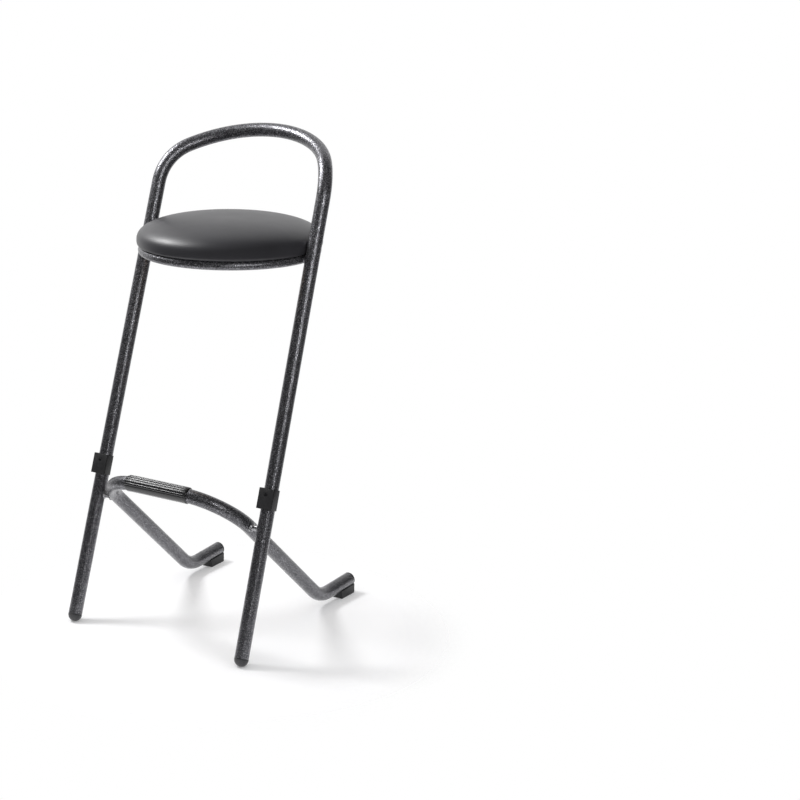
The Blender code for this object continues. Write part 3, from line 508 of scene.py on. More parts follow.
class Nodes:
    """A node tree that is filled one call at a time."""

    def __init__(self, tree):
        self.tree = tree

    def feed(self, socket, value):
        """Give a socket a plain value or another node's output."""
        if isinstance(value, bpy.types.NodeSocket):
            self.tree.links.new(value, socket)
        else:
            socket.default_value = value

    def node(self, kind, inputs=None, **settings):
        """New node with its settings, and what its input sockets get."""
        made = self.tree.nodes.new(kind)
        for key, value in settings.items():
            setattr(made, key, value)
        for socket, value in (inputs or {}).items():
            self.feed(made.inputs[socket], value)
        return made

    def math(self, operation, *values):
        """Result of a sum on numbers."""
        return self.node("ShaderNodeMath", dict(enumerate(values)), operation=operation).outputs["Value"]

    def measure(self, operation, *vectors):
        """Number that a sum on vectors gives."""
        made = self.node("ShaderNodeVectorMath", dict(enumerate(vectors)), operation=operation)
        return made.outputs["Value"]

    def remap(self, value, low, high, new_low=0.0, new_high=1.0, shape="LINEAR"):
        """Carry the range from low to high over to the new one, and go no further."""
        inputs = {"Value": value, "From Min": low, "From Max": high, "To Min": new_low, "To Max": new_high}
        return self.node("ShaderNodeMapRange", inputs, interpolation_type=shape).outputs["Result"]

    def light_path(self):
        """Outputs that are 1 for the camera's rays, and for reflected and refracted rays."""
        path = self.node("ShaderNodeLightPath").outputs
        return path["Is Camera Ray"], self.math("MAXIMUM", path["Is Glossy Ray"], path["Is Transmission Ray"])


class Looks(Nodes):
    """A Principled material whose colour, roughness and bump come from nodes."""

    def __init__(self, name, colour, roughness, metallic=0.0, **sockets):
        self.material = bpy.data.materials.new(name)
        self.material.use_nodes = True
        super().__init__(self.material.node_tree)
        self.shader = self.tree.nodes["Principled BSDF"].inputs
        self.shader["Base Color"].default_value = (*colour, 1.0)
        self.shader["Roughness"].default_value = roughness
        self.shader["Metallic"].default_value = metallic
        for socket, value in sockets.items():
            self.shader[socket.replace("_", " ")].default_value = value
        self.place = self.node("ShaderNodeTexCoord").outputs["Object"]
        self.normal = None

    def stretched(self, scale):
        """Place on the object, scaled along each axis."""
        return self.node("ShaderNodeMapping", {"Scale": scale, "Vector": self.place}).outputs["Vector"]

    def noise(self, scale, detail=2.0, roughness=0.5, distortion=0.0, place=None):
        inputs = {"Scale": scale, "Detail": detail, "Roughness": roughness, "Distortion": distortion,
                  "Vector": place or self.place}
        return self.node("ShaderNodeTexNoise", inputs).outputs["Fac"]

    def cells(self, scale):
        return self.node("ShaderNodeTexVoronoi", {"Scale": scale, "Vector": self.place}).outputs["Distance"]

    def pebbles(self, scale, smoothness):
        """Cells that run softly into each other."""
        inputs = {"Scale": scale, "Smoothness": smoothness, "Vector": self.place}
        return self.node("ShaderNodeTexVoronoi", inputs, feature="SMOOTH_F1").outputs["Distance"]

    def ramp(self, value, *stops):
        """Colour ramp through (place, grey or colour) stops."""
        made = self.node("ShaderNodeValToRGB", {"Fac": value})
        line = made.color_ramp
        while len(line.elements) < len(stops):
            line.elements.new(0.5)
        for element, (spot, colour) in zip(line.elements, stops):
            element.position = spot
            element.color = (*colour, 1.0) if isinstance(colour, tuple) else (colour, colour, colour, 1.0)
        return made.outputs["Color"]

    def mix(self, share, first, second):
        """The first colour where share is 0, and the second where it is 1."""
        made = self.node("ShaderNodeMix", data_type="RGBA")
        for name, value in (("Factor", share), ("A", first), ("B", second)):
            socket = [item for item in made.inputs if item.name == name and item.enabled][0]
            self.feed(socket, (*value, 1.0) if isinstance(value, tuple) else value)
        return [item for item in made.outputs if item.enabled][0]

    def colour(self, source):
        self.feed(self.shader["Base Color"], source)

    def roughness(self, source, low, high):
        self.feed(self.shader["Roughness"], self.remap(source, 0, 1, low, high))

    def bump(self, height, distance, strength):
        """Relief on top of the relief that is there already."""
        made = self.node("ShaderNodeBump", {"Strength": strength, "Distance": distance, "Height": height})
        if self.normal is not None:
            self.feed(made.inputs["Normal"], self.normal)
        self.normal = made.outputs["Normal"]
        self.feed(self.shader["Normal"], self.normal)


# Materials

def hammered_coat():
    """Charcoal powder coat with silver veins and a hammered surface. The veins are stronger on the upper
    tubes as painted highlight, and weaker low down as painted shade.
    """
    look = Looks("hammered_coat", (0.05, 0.05, 0.055), 0.3, metallic=0.72, Specular_IOR_Level=0.35)
    fine = look.noise(scale=640, detail=2.0, roughness=0.6)
    veins = look.ramp(fine, (0.42, 0.0), (0.52, 0.10), (0.60, 0.45), (0.68, 1.0))
    # Painted highlight and shade: the veins' share grows with height, so the upper tubes sparkle lighter and
    # the lower tubes stay darker, as the key light falls.
    height = look.node("ShaderNodeSeparateXYZ", {"Vector": look.place}).outputs["Z"]
    strength = look.remap(height, low=0.40, high=0.95, new_low=0.62, new_high=1.40)
    veins = look.mix(strength, (0.0, 0.0, 0.0), veins)
    patches = look.remap(look.noise(scale=42, detail=3.0, roughness=0.55), low=0.3, high=0.7)
    tone = look.mix(patches, (0.038, 0.0377, 0.0416), (0.067, 0.0665, 0.073))
    look.colour(look.mix(veins, tone, (0.58, 0.576, 0.612)))
    look.roughness(look.noise(scale=300), low=0.20, high=0.40)
    look.bump(look.pebbles(scale=440, smoothness=0.6), distance=0.0004, strength=0.8)
    look.bump(fine, distance=0.0003, strength=0.9)
    return look.material


def weld_metal_painted_highlight():
    """Mottled metal of the studs and their welds. Its tone, far lighter than the frame coat, is painted
    highlight for the studs' bright glints.
    """
    look = Looks("weld_metal_painted_highlight", (0.22, 0.22, 0.23), 0.3, metallic=0.8)
    mottle = look.noise(scale=260, detail=3.0, roughness=0.6)
    # Painted highlight: the light grey tones stand in for glints on the studs.
    look.colour(look.ramp(mottle, (0.3, (0.10, 0.10, 0.11)), (0.7, (0.42, 0.42, 0.43))))
    look.roughness(mottle, low=0.22, high=0.5)
    look.bump(look.noise(scale=700, detail=3.0), distance=0.0002, strength=0.6)
    return look.material


def zinc():
    """Zinc plate with a fine spangle."""
    look = Looks("zinc_plate", (0.5, 0.5, 0.48), 0.34, metallic=1.0)
    spangle = look.cells(scale=900)
    look.colour(look.ramp(spangle, (0.1, (0.42, 0.42, 0.40)), (0.6, (0.62, 0.62, 0.59))))
    look.roughness(look.noise(scale=800), low=0.25, high=0.45)
    look.bump(look.noise(scale=1500), distance=0.00003, strength=0.4)
    return look.material


def black_steel():
    """Black oxide steel of the clip screws."""
    look = Looks("black_oxide_steel", (0.04, 0.04, 0.042), 0.4, metallic=0.8)
    mottle = look.noise(scale=900, detail=3.0, roughness=0.6)
    look.colour(look.ramp(mottle, (0.3, (0.02, 0.02, 0.022)), (0.7, (0.06, 0.06, 0.064))))
    look.roughness(mottle, low=0.32, high=0.55)
    look.bump(mottle, distance=0.00003, strength=0.4)
    return look.material


def moulded_plastic(name, dark, light, shine=0.35):
    """Matt plastic with a fine spark texture, from dark to light with its dust."""
    look = Looks(name, dark, 0.5, Specular_IOR_Level=shine)
    dust = look.noise(scale=60, detail=4.0, roughness=0.6)
    look.colour(look.ramp(dust, (0.3, dark), (0.75, light)))
    look.roughness(look.noise(scale=200), low=0.42, high=0.62)
    look.bump(look.noise(scale=2600), distance=0.00004, strength=0.6)
    return look.material


def gloss_plastic():
    """Black plastic with a soft shine, scuffed along the footrest."""
    look = Looks("black_gloss_plastic", (0.016, 0.016, 0.018), 0.2, Specular_IOR_Level=0.45,
                 Coat_Weight=0.12, Coat_Roughness=0.2)
    scuffs = look.noise(scale=90, detail=4.0, roughness=0.6, place=look.stretched((0.12, 1.0, 1.0)))
    look.colour(look.ramp(scuffs, (0.35, (0.008, 0.008, 0.009)), (0.8, (0.024, 0.024, 0.026))))
    look.roughness(scuffs, low=0.20, high=0.27)
    look.bump(look.noise(scale=700), distance=0.00002, strength=0.2)
    return look.material


def vinyl():
    """Smooth black upholstery vinyl with a fine pebble grain."""
    look = Looks("black_vinyl", (0.02, 0.02, 0.022), 0.4, Specular_IOR_Level=0.38,
                 Sheen_Weight=0.04, Sheen_Roughness=0.45, Coat_Weight=0.13, Coat_Roughness=0.40)
    broad = look.noise(scale=9, detail=3.0, roughness=0.5)
    look.colour(look.ramp(broad, (0.3, (0.025, 0.0246, 0.0288)), (0.7, (0.032, 0.0315, 0.0368))))
    look.roughness(look.noise(scale=30, detail=3.0), low=0.40, high=0.46)
    look.bump(look.noise(scale=14), distance=0.0006, strength=0.25)
    look.bump(look.pebbles(scale=850, smoothness=0.4), distance=0.00005, strength=0.35)
    return look.material


def plywood():
    """Birch veneer with its grain along X."""
    look = Looks("birch_plywood", (0.55, 0.40, 0.25), 0.7)
    grain = look.noise(scale=26, detail=6.0, roughness=0.65, distortion=0.6,
                       place=look.stretched((1.0, 9.0, 1.0)))
    look.colour(look.ramp(grain, (0.25, (0.36, 0.24, 0.13)), (0.5, (0.58, 0.42, 0.26)),
                          (0.8, (0.70, 0.54, 0.36))))
    look.roughness(grain, low=0.55, high=0.8)
    look.bump(grain, distance=0.00015, strength=0.5)
    return look.material


COAT = hammered_coat()
STUD_METAL_PAINTED_HIGHLIGHT = weld_metal_painted_highlight()
ZINC = zinc()
BLACK_STEEL = black_steel()
GLOSS = gloss_plastic()
VINYL = vinyl()
PLYWOOD = plywood()
CLIP_PLASTIC = moulded_plastic("black_moulded_plastic", (0.013, 0.013, 0.0142), (0.024, 0.024, 0.026))
FOOT_PLASTIC = moulded_plastic("dull_foot_plastic", (0.009, 0.009, 0.010), (0.019, 0.019, 0.021), shine=0.22)
CAP_PLASTIC = moulded_plastic("worn_cap_plastic", (0.036, 0.036, 0.039), (0.062, 0.062, 0.066))


# Tubes, ring and welds

def build_tubes():
    """Front and base tube, each bent from one length."""
    piece("bent_front_tube", tube_mesh(FRONT), COAT, ["front_frame"])
    piece("bent_base_tube", tube_mesh(BASE), COAT, ["base_frame"])


def build_ring():
    """Ring tube under the cushion."""
    builder = bmesh.new()
    frames = []
    for x, y in circle(1.0, RING_STEPS):
        outward = Vector((x, y, 0))
        frames.append((RING_CENTRE + outward * RING_RADIUS, outward, Z_AXIS))
    add_skin(builder, rings_along(frames, circle(RING_TUBE_RADIUS, RING_TUBE_SIDES)), closed=True)
    piece("seat_ring_tube", builder, COAT, ["seat_ring"])


def build_ring_weld(name, side):
    """Bead in the cusp where the ring meets a leg."""
    lumps, lump_scale, ripples, ripple_count = 0.09, 2.6, 0.035, 19
    builder = bmesh.new()
    bmesh.ops.create_icosphere(builder, subdivisions=4, radius=1.0)
    for vert in builder.verts:
        swell = 1 + lumps * noise.noise(vert.co * lump_scale) + ripples * sin(vert.co.y * ripple_count)
        vert.co = Vector([part * size for part, size in zip(vert.co, RING_BEAD)]) * swell
    contact = leg_at(RING_HEIGHT) + ORIGIN
    contact.x = side * (contact.x - TUBE_RADIUS + WELD_SINK)
    lean = Matrix.Rotation(-LEG_LEAN / 2, 4, "X")
    piece("ring_bead_" + name, builder, COAT, ["ring_weld_" + name],
          Matrix.Translation(contact) @ lean)


def sunk_in(point, step, lines):
    """The point after as many steps as bring it under the skin of a tube round the lines."""
    for _ in range(MOST_CREEPS):
        for start, end in lines:
            share = max(0, min(1, (point - start).dot(end - start) / (end - start).length_squared))
            if (point - start.lerp(end, share)).length < TUBE_RADIUS - WELD_SINK:
                return point
        point = point + step
    return point


def weld_beads(point):
    """Move a point of the stud outwards by the ripples and lumps of its welds."""
    ripple, ripple_count, lump, lump_scale = 0.00045, 11, 0.0006, 420
    far = max(0.0, abs(point.z) - SPACER_GAP / 2 + WELD_LUMPY_RUN) / WELD_LUMPY_RUN
    turn = atan2(point.y, point.x)
    rise = ripple * sin(turn * ripple_count) + lump * noise.noise(point * lump_scale)
    return point + Vector((point.x, point.y, 0)).normalized() * far * rise


def build_stud(name, side):
    """Stud between leg and base tube, with a fillet weld at each end."""
    on_leg = joint_place()[1] + ORIGIN
    half = SPACER_GAP / 2
    back = SPACER_DROP * (1 / tan(ARM_SLOPE) - tan(LEG_LEAN)) / 2
    middle = Vector((side * (on_leg.x - TUBE_RADIUS - half), on_leg.y + back, on_leg.z - SPACER_DROP))
    outline = [(0, -half), (WELD_END_RADII[0], -half), (WELD_END_RADII[1], -half)]
    for k in range(WELD_STEPS + 1):
        share = k / WELD_STEPS
        radius = SPACER_RADIUS + WELD_WIDTH * (1 - share) ** WELD_HOLLOW
        outline.append((radius, -half + WELD_EDGE + WELD_RUN * share))
    outline += [(radius, -height) for radius, height in outline[::-1]]
    builder = bmesh.new()
    rings = lathe(builder, outline, sides=44, wobble=weld_beads)
    place = axis_frame(middle, X_AXIS, Z_AXIS)
    for vert in builder.verts:
        vert.co = place @ vert.co
    lines = [(here[0], there[0]) for path in (FRONT, BASE) for here, there in zip(path, path[1:])
             if (here[0] - middle).length < JOINT_REACH]
    for rings_at_end, step in ((rings[:3], X_AXIS * -CREEP), (rings[-3:], X_AXIS * CREEP)):
        for vert in [vert for ring in rings_at_end for vert in ring]:
            vert.co = sunk_in(vert.co, step, lines)
    piece("joint_stud_" + name, builder, STUD_METAL_PAINTED_HIGHLIGHT, ["joint_spacer_" + name])


# Plastic parts

def build_cap(name, side):
    """Domed plug in the end of a leg, worn flat on the floor."""
    outline = [(TUBE_RADIUS * sin(angle), -TUBE_RADIUS * cos(angle)) for angle in quarter(14)]
    outline += [(TUBE_RADIUS, CAP_LIP - CAP_EDGE), (TUBE_RADIUS - CAP_EDGE, CAP_LIP), (PLUG_RADIUS, CAP_LIP),
                (PLUG_RADIUS, CAP_LIP + PLUG_LENGTH), (0, CAP_LIP + PLUG_LENGTH)]
    builder = bmesh.new()
    lathe(builder, outline, sides=40)
    place = leg_frame(CAP_CENTRE, side)
    local = place.inverted()
    everything = builder.verts[:] + builder.edges[:] + builder.faces[:]
    bmesh.ops.bisect_plane(builder, geom=everything, plane_co=local @ Vector((0, 0, 0)),
                           plane_no=local.to_3x3() @ -Z_AXIS, clear_outer=True)
    bmesh.ops.contextual_create(builder, geom=[edge for edge in builder.edges if edge.is_boundary])
    piece("leg_end_cap_" + name, builder, CAP_PLASTIC, ["leg_cap_" + name], place)


def foot_plug():
    """End plug of a rear foot: a disc with a rounded edge, and the plug inside the tube."""
    outline = [(0, FIT_GAP + FOOT_DISC)]
    for angle in quarter(3):
        outline.append((TUBE_RADIUS - FOOT_DISC_EDGE[0] * (1 - sin(angle)),
                        FIT_GAP + FOOT_DISC - FOOT_DISC_EDGE[1] * (1 - cos(angle))))
    outline += [(TUBE_RADIUS, FIT_GAP), (PLUG_RADIUS, FIT_GAP)]
    outline += [(PLUG_RADIUS, -PLUG_LENGTH), (0, -PLUG_LENGTH)]
    builder = bmesh.new()
    lathe(builder, outline, sides=48)
    return builder


def build_foot(name, side):
    """Rear floor pad, hollowed for the tube, and the end plug moulded with it."""
    end, before = (BASE[0][0], BASE[1][0]) if side < 0 else (BASE[-1][0], BASE[-2][0])
    outward = (end - before).normalized()
    along = Vector((outward.x, outward.y, 0)).normalized()
    level = Matrix((along.cross(Z_AXIS), along, Z_AXIS)).transposed().to_4x4()
    level.translation = end
    rear = FIT_GAP + FOOT_DISC - PAD_REAR_INSET
    tip = rear - PAD_LENGTH - PAD_NOSE_SLANT
    corners = [(rear, -end.z), (rear - PAD_LENGTH, -end.z)]
    corners += [(y, PAD_WRAP - TUBE_RADIUS + y * tan(REAR_RISE)) for y in (tip, rear)]
    side_view = rounded(corners, PAD_CORNER, steps=3)
    builder = bmesh.new()
    add_block(builder, [[Vector((x, y, z)) for y, z in side_view] for x in (-PAD_WIDTH / 2, PAD_WIDTH / 2)])
    foot = piece("rear_foot_pad_" + name, builder, FOOT_PLASTIC, ["rear_foot_" + name],
                 level)
    soften(foot, PAD_EDGE, segments=3)
    bore = bmesh.new()
    prism(bore, circle(TUBE_RADIUS + FIT_GAP / 2, sides=48), -PAD_BORE_LENGTH, FIT_GAP / 2)
    place = axis_frame(end, outward, X_AXIS)
    combine(foot, new_object("bore", bore, place))
    combine(foot, new_object("plug", foot_plug(), place), "UNION")


def clip_outline():
    """Clip from above: a box with rounded front corners, open at the back round the leg."""
    half, front, bore = TUBE_RADIUS + CLIP_WALL, -(TUBE_RADIUS + CLIP_FRONT), TUBE_RADIUS + CLIP_BORE_GAP
    box = [(half, CLIP_WRAP), (half, front), (-half, front), (-half, CLIP_WRAP)]
    front_corners = [(x, y) for x, y in rounded(box, CLIP_CORNER, steps=5) if y < 0]
    outline = [(half, CLIP_WRAP)] + front_corners + [(-half, CLIP_WRAP)]
    opening = atan2(CLIP_WRAP, bore)
    for k in range(CLIP_BORE_STEPS + 1):
        angle = pi - opening + (pi + 2 * opening) * k / CLIP_BORE_STEPS
        outline.append((bore * cos(angle), bore * sin(angle)))
    return outline


def build_clip(name, side):
    """Saddle clip on the front of a leg, for stacking, and its screw."""
    place = leg_frame(joint_place()[1].z / LEG_UP.z + CLIP_RISE, side)
    builder = bmesh.new()
    prism(builder, clip_outline(), 0, CLIP_HEIGHT)
    clip = piece("saddle_clip_" + name, builder, CLIP_PLASTIC, ["stacking_clip_" + name],
                 place)
    soften(clip, CLIP_EDGE, segments=2)
    spot = Vector((0, -(TUBE_RADIUS + CLIP_FRONT) + CLIP_SCREW_SINK, CLIP_HEIGHT - CLIP_SCREW_DROP))
    screw_place = axis_frame(place @ spot, place.to_3x3() @ -Y_AXIS, X_AXIS)
    hole = bmesh.new()
    lathe(hole, COUNTERSINK, sides=32)
    combine(clip, new_object("hole", hole, screw_place))
    builder = bmesh.new()
    rings = lathe(builder, SCREW_HEAD, SCREW_HEAD_SIDES)
    # On both rings of the recess, one point for each lobe goes in
    for k, vert in enumerate(rings[1] + rings[2]):
        if k % (SCREW_HEAD_SIDES // SCREW_LOBES) == 2:
            vert.co.xy *= SCREW_LOBE_SHARE
    piece("clip_screw_head_" + name, builder, BLACK_STEEL, ["clip_screw_" + name], screw_place)


def footrest_frame(station):
    """Frame of the base tube so far to the right of the footrest's middle, along the tube."""
    middle = len(BASE) // 2
    path = BASE[middle:] if station >= 0 else BASE[middle::-1]
    reached = 0.0
    for here, there in zip(path, path[1:]):
        length = (there[0] - here[0]).length
        if reached + length >= abs(station):
            share = (abs(station) - reached) / length
            return tuple(first.lerp(second, share) for first, second in zip(here, there))
        reached += length


def sleeve_section(wall, rib):
    """Outline of the sleeve across the tube, with ribs over its upper side."""
    points = []
    for k in range(SLEEVE_SIDES):
        angle = 2 * pi * k / SLEEVE_SIDES
        turn = (angle + pi) % (2 * pi) - pi
        radius = TUBE_RADIUS + FIT_GAP + wall
        if abs(turn) < SLEEVE_RIB_ARC / 2:
            phase = (turn / SLEEVE_RIB_ARC + 0.5) * SLEEVE_RIB_COUNT % 1.0
            away = abs(phase - 0.5) / SLEEVE_RIB_SHARE
            radius += rib * sqrt(max(0.0, 1 - away * away))
        points.append((radius * cos(angle), radius * sin(angle)))
    return points


def build_sleeve():
    """Ribbed sleeve on the footrest, with rounded ends."""
    low, high = SLEEVE_SHIFT - SLEEVE_HALF_LENGTH, SLEEVE_SHIFT + SLEEVE_HALF_LENGTH
    inset = SLEEVE_END[-1][0]
    run = high - low - 2 * inset
    stops = [(low + away, wall, rib) for away, wall, rib in SLEEVE_END]
    stops += [(low + inset + run * k / SLEEVE_STEPS, SLEEVE_WALL, SLEEVE_RIB) for k in range(1, SLEEVE_STEPS)]
    stops += [(high - away, wall, rib) for away, wall, rib in SLEEVE_END[::-1]]
    stops += [(station, SLEEVE_BORE_WALL, 0.0) for station, _, _ in stops[::-1]]
    rings = []
    for station, wall, rib in stops:
        rings += rings_along([footrest_frame(station)], sleeve_section(wall, rib))
    builder = bmesh.new()
    add_skin(builder, rings, closed=True)
    piece("ribbed_sleeve", builder, GLOSS, ["footrest_sleeve"], sharp=30)


# Cushion

def cushion_outline():
    """Crown, side, bottom roll and hem of the cushion, then round the board's edge."""
    points = [(0, RIM_Z + CUSHION_CROWN)]
    for angle in quarter(26)[-2::-1]:
        points.append((CUSHION_RADIUS * cos(angle) ** CROWN_POWERS[0],
                       RIM_Z + CUSHION_CROWN * sin(angle) ** CROWN_POWERS[1]))
    for angle in quarter(7):
        points.append((CUSHION_RADIUS - ROLL_WIDTH * (1 - cos(angle) ** ROLL_POWER),
                       RIM_Z - CUSHION_SIDE - ROLL_DEPTH * sin(angle) ** ROLL_POWER))
    points += [(radius, HEM_Z + rise) for radius, rise in HEM_OUTLINE]
    points += [(BOARD_RADIUS, HEM_Z + HEM_THICKNESS), (BOARD_RADIUS, HEM_Z + BOARD_RISE),
               (0, HEM_Z + BOARD_RISE)]
    return points


def pressed_by_legs(point):
    """The point, moved clear of the two legs."""
    clear = TUBE_RADIUS + LEG_CLEARANCE
    for side in SIDES.values():
        foot, up = leg_at(0) + ORIGIN, LEG_UP
        if side < 0:
            foot, up = mirrored(foot), mirrored(up)
        away = point - foot
        away -= up * away.dot(up)
        near = away.length
        if near < clear + LEG_PRESS:
            want = clear + LEG_PRESS * max(0.0, (near - clear + LEG_PRESS) / (2 * LEG_PRESS)) ** 2
            if want > near:
                point = point + away.normalized() * (want - near)
    return point


def inflate(cushion, held_below):
    """Let the cover swell under its filling, held below a height, each point by a small move at most."""
    rest = [vert.co.copy() for vert in cushion.data.vertices]
    held = cushion.vertex_groups.new(name="held")
    for vert in cushion.data.vertices:
        share = (held_below + CLOTH_HELD_FADE - vert.co.z) / CLOTH_HELD_FADE
        held.add([vert.index], max(0.0, min(1.0, share)), "REPLACE")
    cloth = cushion.modifiers.new("cloth", "CLOTH")
    cloth.settings.quality = 6
    cloth.settings.tension_stiffness = 30
    cloth.settings.compression_stiffness = 30
    cloth.settings.bending_stiffness = 4
    cloth.settings.vertex_group_mass = "held"
    cloth.settings.use_pressure = True
    cloth.settings.uniform_pressure_force = CLOTH_PRESSURE
    cloth.settings.effector_weights.gravity = 0
    cloth.point_cache.frame_start, cloth.point_cache.frame_end = 1, CLOTH_FRAMES
    for number in range(1, CLOTH_FRAMES + 1):
        bpy.context.scene.frame_set(number)
    graph = bpy.context.evaluated_depsgraph_get()
    swollen = [vert.co.copy() for vert in cushion.evaluated_get(graph).data.vertices]
    cushion.modifiers.clear()
    cushion.vertex_groups.clear()
    for vert, before, after in zip(cushion.data.vertices, rest, swollen):
        move = after - before
        if move.length > CLOTH_MOST_MOVE:
            move *= CLOTH_MOST_MOVE / move.length
        vert.co = before + move
    bpy.context.scene.frame_set(1)


def build_cushion():
    """Cushion in its cover, swollen, pressed in by the legs, with a slightly wavy hem."""
    builder = bmesh.new()
    lathe(builder, cushion_outline(), CUSHION_SIDES)
    place = Matrix.Translation(Vector((RING_CENTRE.x, RING_CENTRE.y, 0)))
    cushion = piece("seat_cushion", builder, VINYL, ["seat_cover", "seat_foam"], place, sharp=60)
    inflate(cushion, RIM_Z - CLOTH_HELD_BELOW)
    for vert in cushion.data.vertices:
        point = vert.co
        if point.z > HEM_Z + LEG_PRESS_ABOVE_HEM:
            point = pressed_by_legs(point)
        flat = Vector((point.x - RING_CENTRE.x, point.y - RING_CENTRE.y, 0))
        if point.z < HEM_Z + HEM_THICKNESS and flat.length < HEM_WAVE_REACH:
            turn = atan2(flat.y, flat.x)
            point += flat.normalized() * HEM_WAVE * sin(turn * 5 + 1) * sin(turn * 13)
        vert.co = point
    step = cushion.modifiers.new("smooth", "SUBSURF")
    step.levels = step.render_levels = 1
    step.boundary_smooth = "PRESERVE_CORNERS"
    settle(cushion, sharp=60)


def dress_kept_nodes():
    """Materials of the CAD nodes that stay."""
    looks = {"seat_board": PLYWOOD, "seat_tab": COAT, "seat_screw": ZINC, "seat_washer": ZINC,
             "seat_tee_nut": ZINC, "cover_staple": ZINC}
    for node, made in frame["nodes"].items():
        for start, look in looks.items():
            if node.startswith(start):
                made.data.materials[0] = look


# Studio and camera

def make_camera():
    """Camera of the photo. Its axis meets the photo off the middle, so the lens is shifted."""
    data = bpy.data.cameras.new("camera")
    data.sensor_width = SENSOR_WIDTH
    data.lens = FOCAL_PIXELS * SENSOR_WIDTH / PHOTO_SIZE
    data.shift_x = (PHOTO_SIZE / 2 - CENTRE_X) / PHOTO_SIZE
    data.shift_y = (CENTRE_Y - PHOTO_SIZE / 2) / PHOTO_SIZE
    data.clip_end = 50
    camera = bpy.data.objects.new("camera", data)
    azimuth, elevation, roll = (radians(angle) for angle in CAMERA_TURN)
    view = Vector((-sin(azimuth) * cos(elevation), cos(azimuth) * cos(elevation), -sin(elevation)))
    right = Vector((cos(azimuth), sin(azimuth), 0))
    up = right.cross(view)
    right, up = right * cos(roll) + up * sin(roll), up * cos(roll) - right * sin(roll)
    placed = Matrix((right, up, -view)).transposed().to_4x4()
    placed.translation = Vector(CAMERA_AIM) - view * CAMERA_DISTANCE + ORIGIN
    camera.matrix_world = placed
    bpy.context.scene.collection.objects.link(camera)
    bpy.context.scene.camera = camera


def floor_looks():
    """Pale diffuse floor, brighter for the camera and in reflections, that fades into the background."""
    made = bpy.data.materials.new("studio_floor")
    made.use_nodes = True
    made.node_tree.nodes.clear()
    nodes = Nodes(made.node_tree)
    camera_ray, mirror_ray = nodes.light_path()
    place = nodes.node("ShaderNodeTexCoord").outputs["Object"]
    from_middle = nodes.measure("DISTANCE", place, (*FLOOR_MIDDLE, 0))
    seen = nodes.math("MULTIPLY", nodes.remap(from_middle, *FLOOR_FADE, shape="SMOOTHSTEP"), camera_ray)
    in_mirror = nodes.math("MULTIPLY", nodes.remap(from_middle, *MIRROR_FADE, shape="SMOOTHSTEP"), mirror_ray)
    at_edge = nodes.remap(nodes.measure("LENGTH", place), *EDGE_FADE, shape="SMOOTHSTEP")
    gone = nodes.math("MAXIMUM", seen, nodes.math("MAXIMUM", in_mirror, at_edge))
    glow = nodes.math("MULTIPLY", mirror_ray, FLOOR_GLOW)
    lift = nodes.math("MULTIPLY_ADD", camera_ray, FLOOR_LIFT, glow)
    diffuse = nodes.node("ShaderNodeBsdfDiffuse", {"Color": (*FLOOR_COLOUR, 1)}).outputs[0]
    emission = nodes.node("ShaderNodeEmission", {"Strength": lift}).outputs[0]
    solid = nodes.node("ShaderNodeAddShader", {0: diffuse, 1: emission}).outputs[0]
    clear = nodes.node("ShaderNodeBsdfTransparent").outputs[0]
    surface = nodes.node("ShaderNodeMixShader", {0: gone, 1: solid, 2: clear}).outputs[0]
    nodes.node("ShaderNodeOutputMaterial", {"Surface": surface})
    return made


def make_floor():
    """Floor for the shadows. It isn't part of the stool."""
    builder = bmesh.new()
    bmesh.ops.create_circle(builder, cap_ends=True, segments=96, radius=FLOOR_RADIUS)
    mesh = bpy.data.meshes.new("studio_floor")
    builder.to_mesh(mesh)
    builder.free()
    mesh.materials.append(floor_looks())
    floor = bpy.data.objects.new("studio_floor", mesh)
    floor.location.z = -FLOOR_DROP
    bpy.context.scene.collection.objects.link(floor)


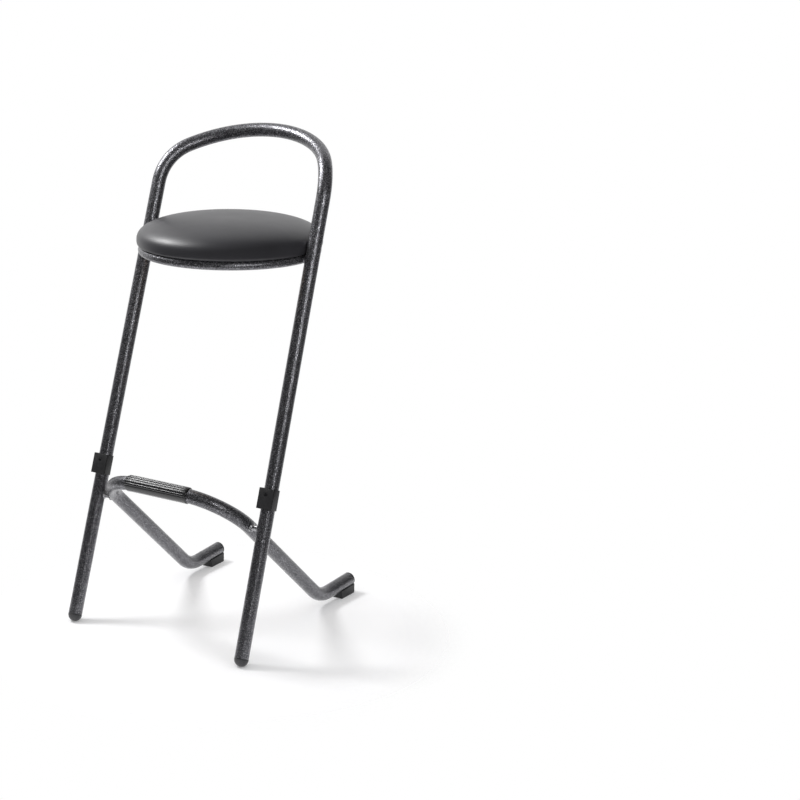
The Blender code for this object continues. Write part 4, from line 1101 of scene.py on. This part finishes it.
def make_world():
    """White for the camera. Reflections see a dark room with a white backdrop behind the stool."""
    world = bpy.data.worlds.new("studio")
    bpy.context.scene.world = world
    world.use_nodes = True
    nodes = Nodes(world.node_tree)
    camera_ray, mirror_ray = nodes.light_path()
    direction = nodes.node("ShaderNodeTexCoord").outputs["Generated"]
    turn = radians(CAMERA_TURN[0])
    facing = nodes.measure("DOT_PRODUCT", direction, (-sin(turn), cos(turn), 0))
    room = nodes.remap(facing, *BACKDROP_EDGE, ROOM_LEVEL, 1.0, shape="SMOOTHSTEP")
    level = WORLD_LEVEL
    for ray, strength in ((mirror_ray, room), (camera_ray, 1.0)):
        choice = nodes.node("ShaderNodeMix", {"Factor": ray, "A": level, "B": strength})
        level = choice.outputs["Result"]
    background = world.node_tree.nodes["Background"].inputs
    nodes.feed(background["Color"], (1, 1, 1, 1))
    nodes.feed(background["Strength"], level)


def area_light(name, place, target, width, height, power, sheen_only=False):
    """Rectangular lamp that looks at a target. With sheen_only it adds highlights alone."""
    data = bpy.data.lights.new(name, "AREA")
    data.shape, data.size, data.size_y, data.energy = "RECTANGLE", width, height, power
    lamp = bpy.data.objects.new(name, data)
    lamp.location = place
    lamp.visible_diffuse = not sheen_only
    lamp.rotation_euler = (Vector(target) - Vector(place)).to_track_quat("-Z", "Y").to_euler()
    bpy.context.scene.collection.objects.link(lamp)
    return lamp


def make_lamps():
    """Key light, a softbox in the same place, and a strip that cushion, clips and floor don't show."""
    area_light("key_light", LEFT_PLACE, LOW_TARGET, width=0.50, height=0.50, power=30)
    area_light("left_softbox", LEFT_PLACE, SEAT_TARGET, width=1.2, height=1.2, power=20, sheen_only=True)
    strip = area_light("front_strip", STRIP_PLACE, SEAT_TARGET, width=0.20, height=1.4, power=27,
                       sheen_only=True)
    strip.light_linking.receiver_collection = bpy.data.collections.new("lit_by_strip")
    for lit in bpy.context.scene.objects:
        if lit.type == "MESH" and not lit.name.startswith(("seat_cushion", "studio_floor", "saddle_clip")):
            strip.light_linking.receiver_collection.objects.link(lit)


build_tubes()
build_ring()
for side_name, side_sign in SIDES.items():
    build_ring_weld(side_name, side_sign)
    build_stud(side_name, side_sign)
    build_cap(side_name, side_sign)
    build_foot(side_name, side_sign)
    build_clip(side_name, side_sign)
build_sleeve()
build_cushion()
dress_kept_nodes()
make_camera()
make_floor()
make_world()
make_lamps()
bpy.context.scene.view_settings.view_transform = "Standard"
